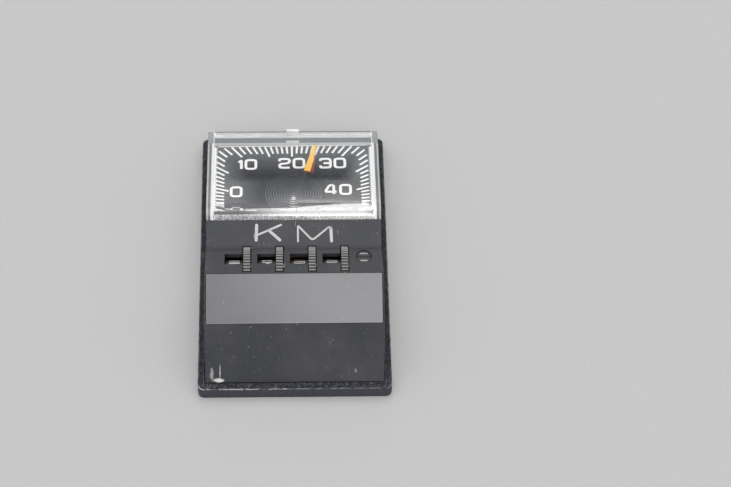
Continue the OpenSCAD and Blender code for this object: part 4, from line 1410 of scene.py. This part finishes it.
class GAUGE_OT_stage(GaugeOperator, bpy.types.Operator):
    """Sets the pale floor, the soft light and the camera"""

    bl_idname = "gauge.stage"
    bl_label = "Stage"

    FLOOR_HALF = 1.5
    CLIP_START = 0.01
    # Light of the room's parts.
    NEAR_WALL = (0.70, 0.705, 0.72)
    FAR_WALL = (0.36, 0.365, 0.375)
    CEILING = (1.3, 1.3, 1.3)
    GAP = (0.17, 0.175, 0.19)
    GLOW = (0.96, 0.98, 1.03)
    SILL = (0.36, 0.375, 0.40)
    SILL_ENDS = (1.22, 1.23, 1.24)
    PANE = (1.7, 1.72, 1.75)
    STRIP = (2.6, 2.6, 2.6)
    LAMP = (10.0, 9.95, 9.8)
    # Heights over which the gap begins, the sill begins, and the pane ends.
    GAP_LOW = (0.40, 0.44)
    SILL_LOW = (0.5868, 0.5884)
    PANE_TOP = (0.67, 0.69)

    def room(self, graph):
        """Light of the room by its direction; every limit is a part of a direction of length 1."""
        across, behind, height = graph.axes(graph.outs("ShaderNodeTexCoord")["Generated"])
        room = graph.mix(behind.ramp(-0.7, 0.5), self.NEAR_WALL, self.FAR_WALL)
        room = graph.mix(height.ramp(0.64, 0.9), room, self.CEILING)
        # What the cover's top mirrors: a dark gap with a glow below it and at its ends, a sill with bright ends,
        # a pane that grows brighter upwards, and a bright strip in it.
        ahead = behind.ramp(0.5, 0.7) * (1.0 - abs(across).ramp(0.07, 0.12))
        gap_low, sill_low = height.ramp(*self.GAP_LOW), height.ramp(*self.SILL_LOW)
        pane_top = height.ramp(*self.PANE_TOP)
        gap = (gap_low - sill_low) * across.ramp(-0.029, -0.017)
        room = graph.mix(gap * ahead, room, self.GAP)
        ends = graph.math("MAXIMUM", (-across).ramp(0.0165, 0.032), across.ramp(0.023, 0.033))
        glow = graph.math("MAXIMUM", 1.0 - height.ramp(0.5745, 0.587), ends)
        room = graph.mix(glow * gap_low * ahead, room, self.GLOW)
        sill = sill_low - pane_top
        room = graph.mix(sill * ahead, room, self.SILL)
        ends = graph.math("MAXIMUM", (-across).ramp(0.0095, 0.030), across.ramp(0.008, 0.024) * 0.6)
        room = graph.mix(sill * ends * ahead, room, self.SILL_ENDS)
        pane = (height.ramp(0.5885, 0.601) - pane_top) * (0.3 + across.ramp(-0.014, 0.004) * 0.7)
        room = graph.mix(pane * ahead, room, self.PANE)
        strip = (height.ramp(0.5947, 0.5953) - height.ramp(0.5957, 0.5963)) * across.ramp(-0.003, 0.012)
        room = graph.mix(strip * ahead, room, self.STRIP)
        # A strip lamp overhead, which the cover's near edge mirrors; it is dimmer on the left.
        power = 0.15 + across.ramp(-0.024, 0.004) * 0.85
        ends = across.ramp(-0.05, -0.045) - across.ramp(0.034, 0.041)
        reach = 0.1 + across.ramp(-0.005, 0.0267) * 0.6
        within = 1.0 - (behind - reach).ramp(-0.14, 0.08)
        return graph.mix(power * ends * within * height.ramp(0.42, 0.52), room, self.LAMP)

    def build(self, sizes, colours):
        scene = bpy.context.scene
        bm = bmesh.new()
        bmesh.ops.create_grid(bm, x_segments=1, y_segments=1, size=self.FLOOR_HALF)
        piece_from(bm, "floor", finish_of(floor_material, "pale_floor", colours))

        scene.world = bpy.data.worlds.new("soft_room")
        scene.world.use_nodes = True
        graph = Graph(scene.world.node_tree)
        graph.fill(graph.tree.nodes["Background"], Color=self.room(graph), Strength=1.0)

        lens = bpy.data.cameras.new("camera")
        lens.sensor_fit = "HORIZONTAL"
        lens.sensor_width = SENSOR_MM
        lens.lens = SENSOR_MM * FOCAL_PX / IMAGE_W_PX
        lens.clip_start = self.CLIP_START
        scene.camera = new_object("camera", lens)
        turn = Matrix((EYE_RIGHT, EYE_UP, -EYE_FORWARD)).transposed().to_4x4()
        scene.camera.matrix_world = Matrix.Translation(EYE) @ turn
        scene.view_settings.view_transform = "Standard"


class GAUGE_PT_panel(bpy.types.Panel):
    """Lists the gauge's sizes, colours and operators"""

    bl_idname = "GAUGE_PT_panel"
    bl_label = "Dial Thermometer"
    bl_space_type = "VIEW_3D"
    bl_region_type = "UI"
    bl_category = "Gauge"

    def draw(self, context):
        for group in (context.scene.gauge_sizes, context.scene.gauge_colours):
            column = self.layout.column()
            for name in group.__annotations__:
                column.prop(group, name)
        for operator in OPERATORS:
            self.layout.operator(operator.bl_idname)


OPERATORS = (
    GAUGE_OT_base_plate,
    GAUGE_OT_housing,
    GAUGE_OT_name_plate,
    GAUGE_OT_window,
    GAUGE_OT_dial,
    GAUGE_OT_pointer,
    GAUGE_OT_wheels,
    GAUGE_OT_unit_letters,
    GAUGE_OT_fasteners,
    GAUGE_OT_movement,
    GAUGE_OT_stage,
)
CLASSES = (GaugeSizes, GaugeColours, *OPERATORS, GAUGE_PT_panel)


def register():
    for cls in CLASSES:
        bpy.utils.register_class(cls)
    bpy.types.Scene.gauge_sizes = PointerProperty(type=GaugeSizes)
    bpy.types.Scene.gauge_colours = PointerProperty(type=GaugeColours)


def unregister():
    del bpy.types.Scene.gauge_colours
    del bpy.types.Scene.gauge_sizes
    for cls in reversed(CLASSES):
        bpy.utils.unregister_class(cls)


def main():
    """Registers the classes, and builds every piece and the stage."""
    register()
    for operator in OPERATORS:
        group, name = operator.bl_idname.split(".")
        getattr(getattr(bpy.ops, group), name)()


if __name__ == "__main__":
    main()
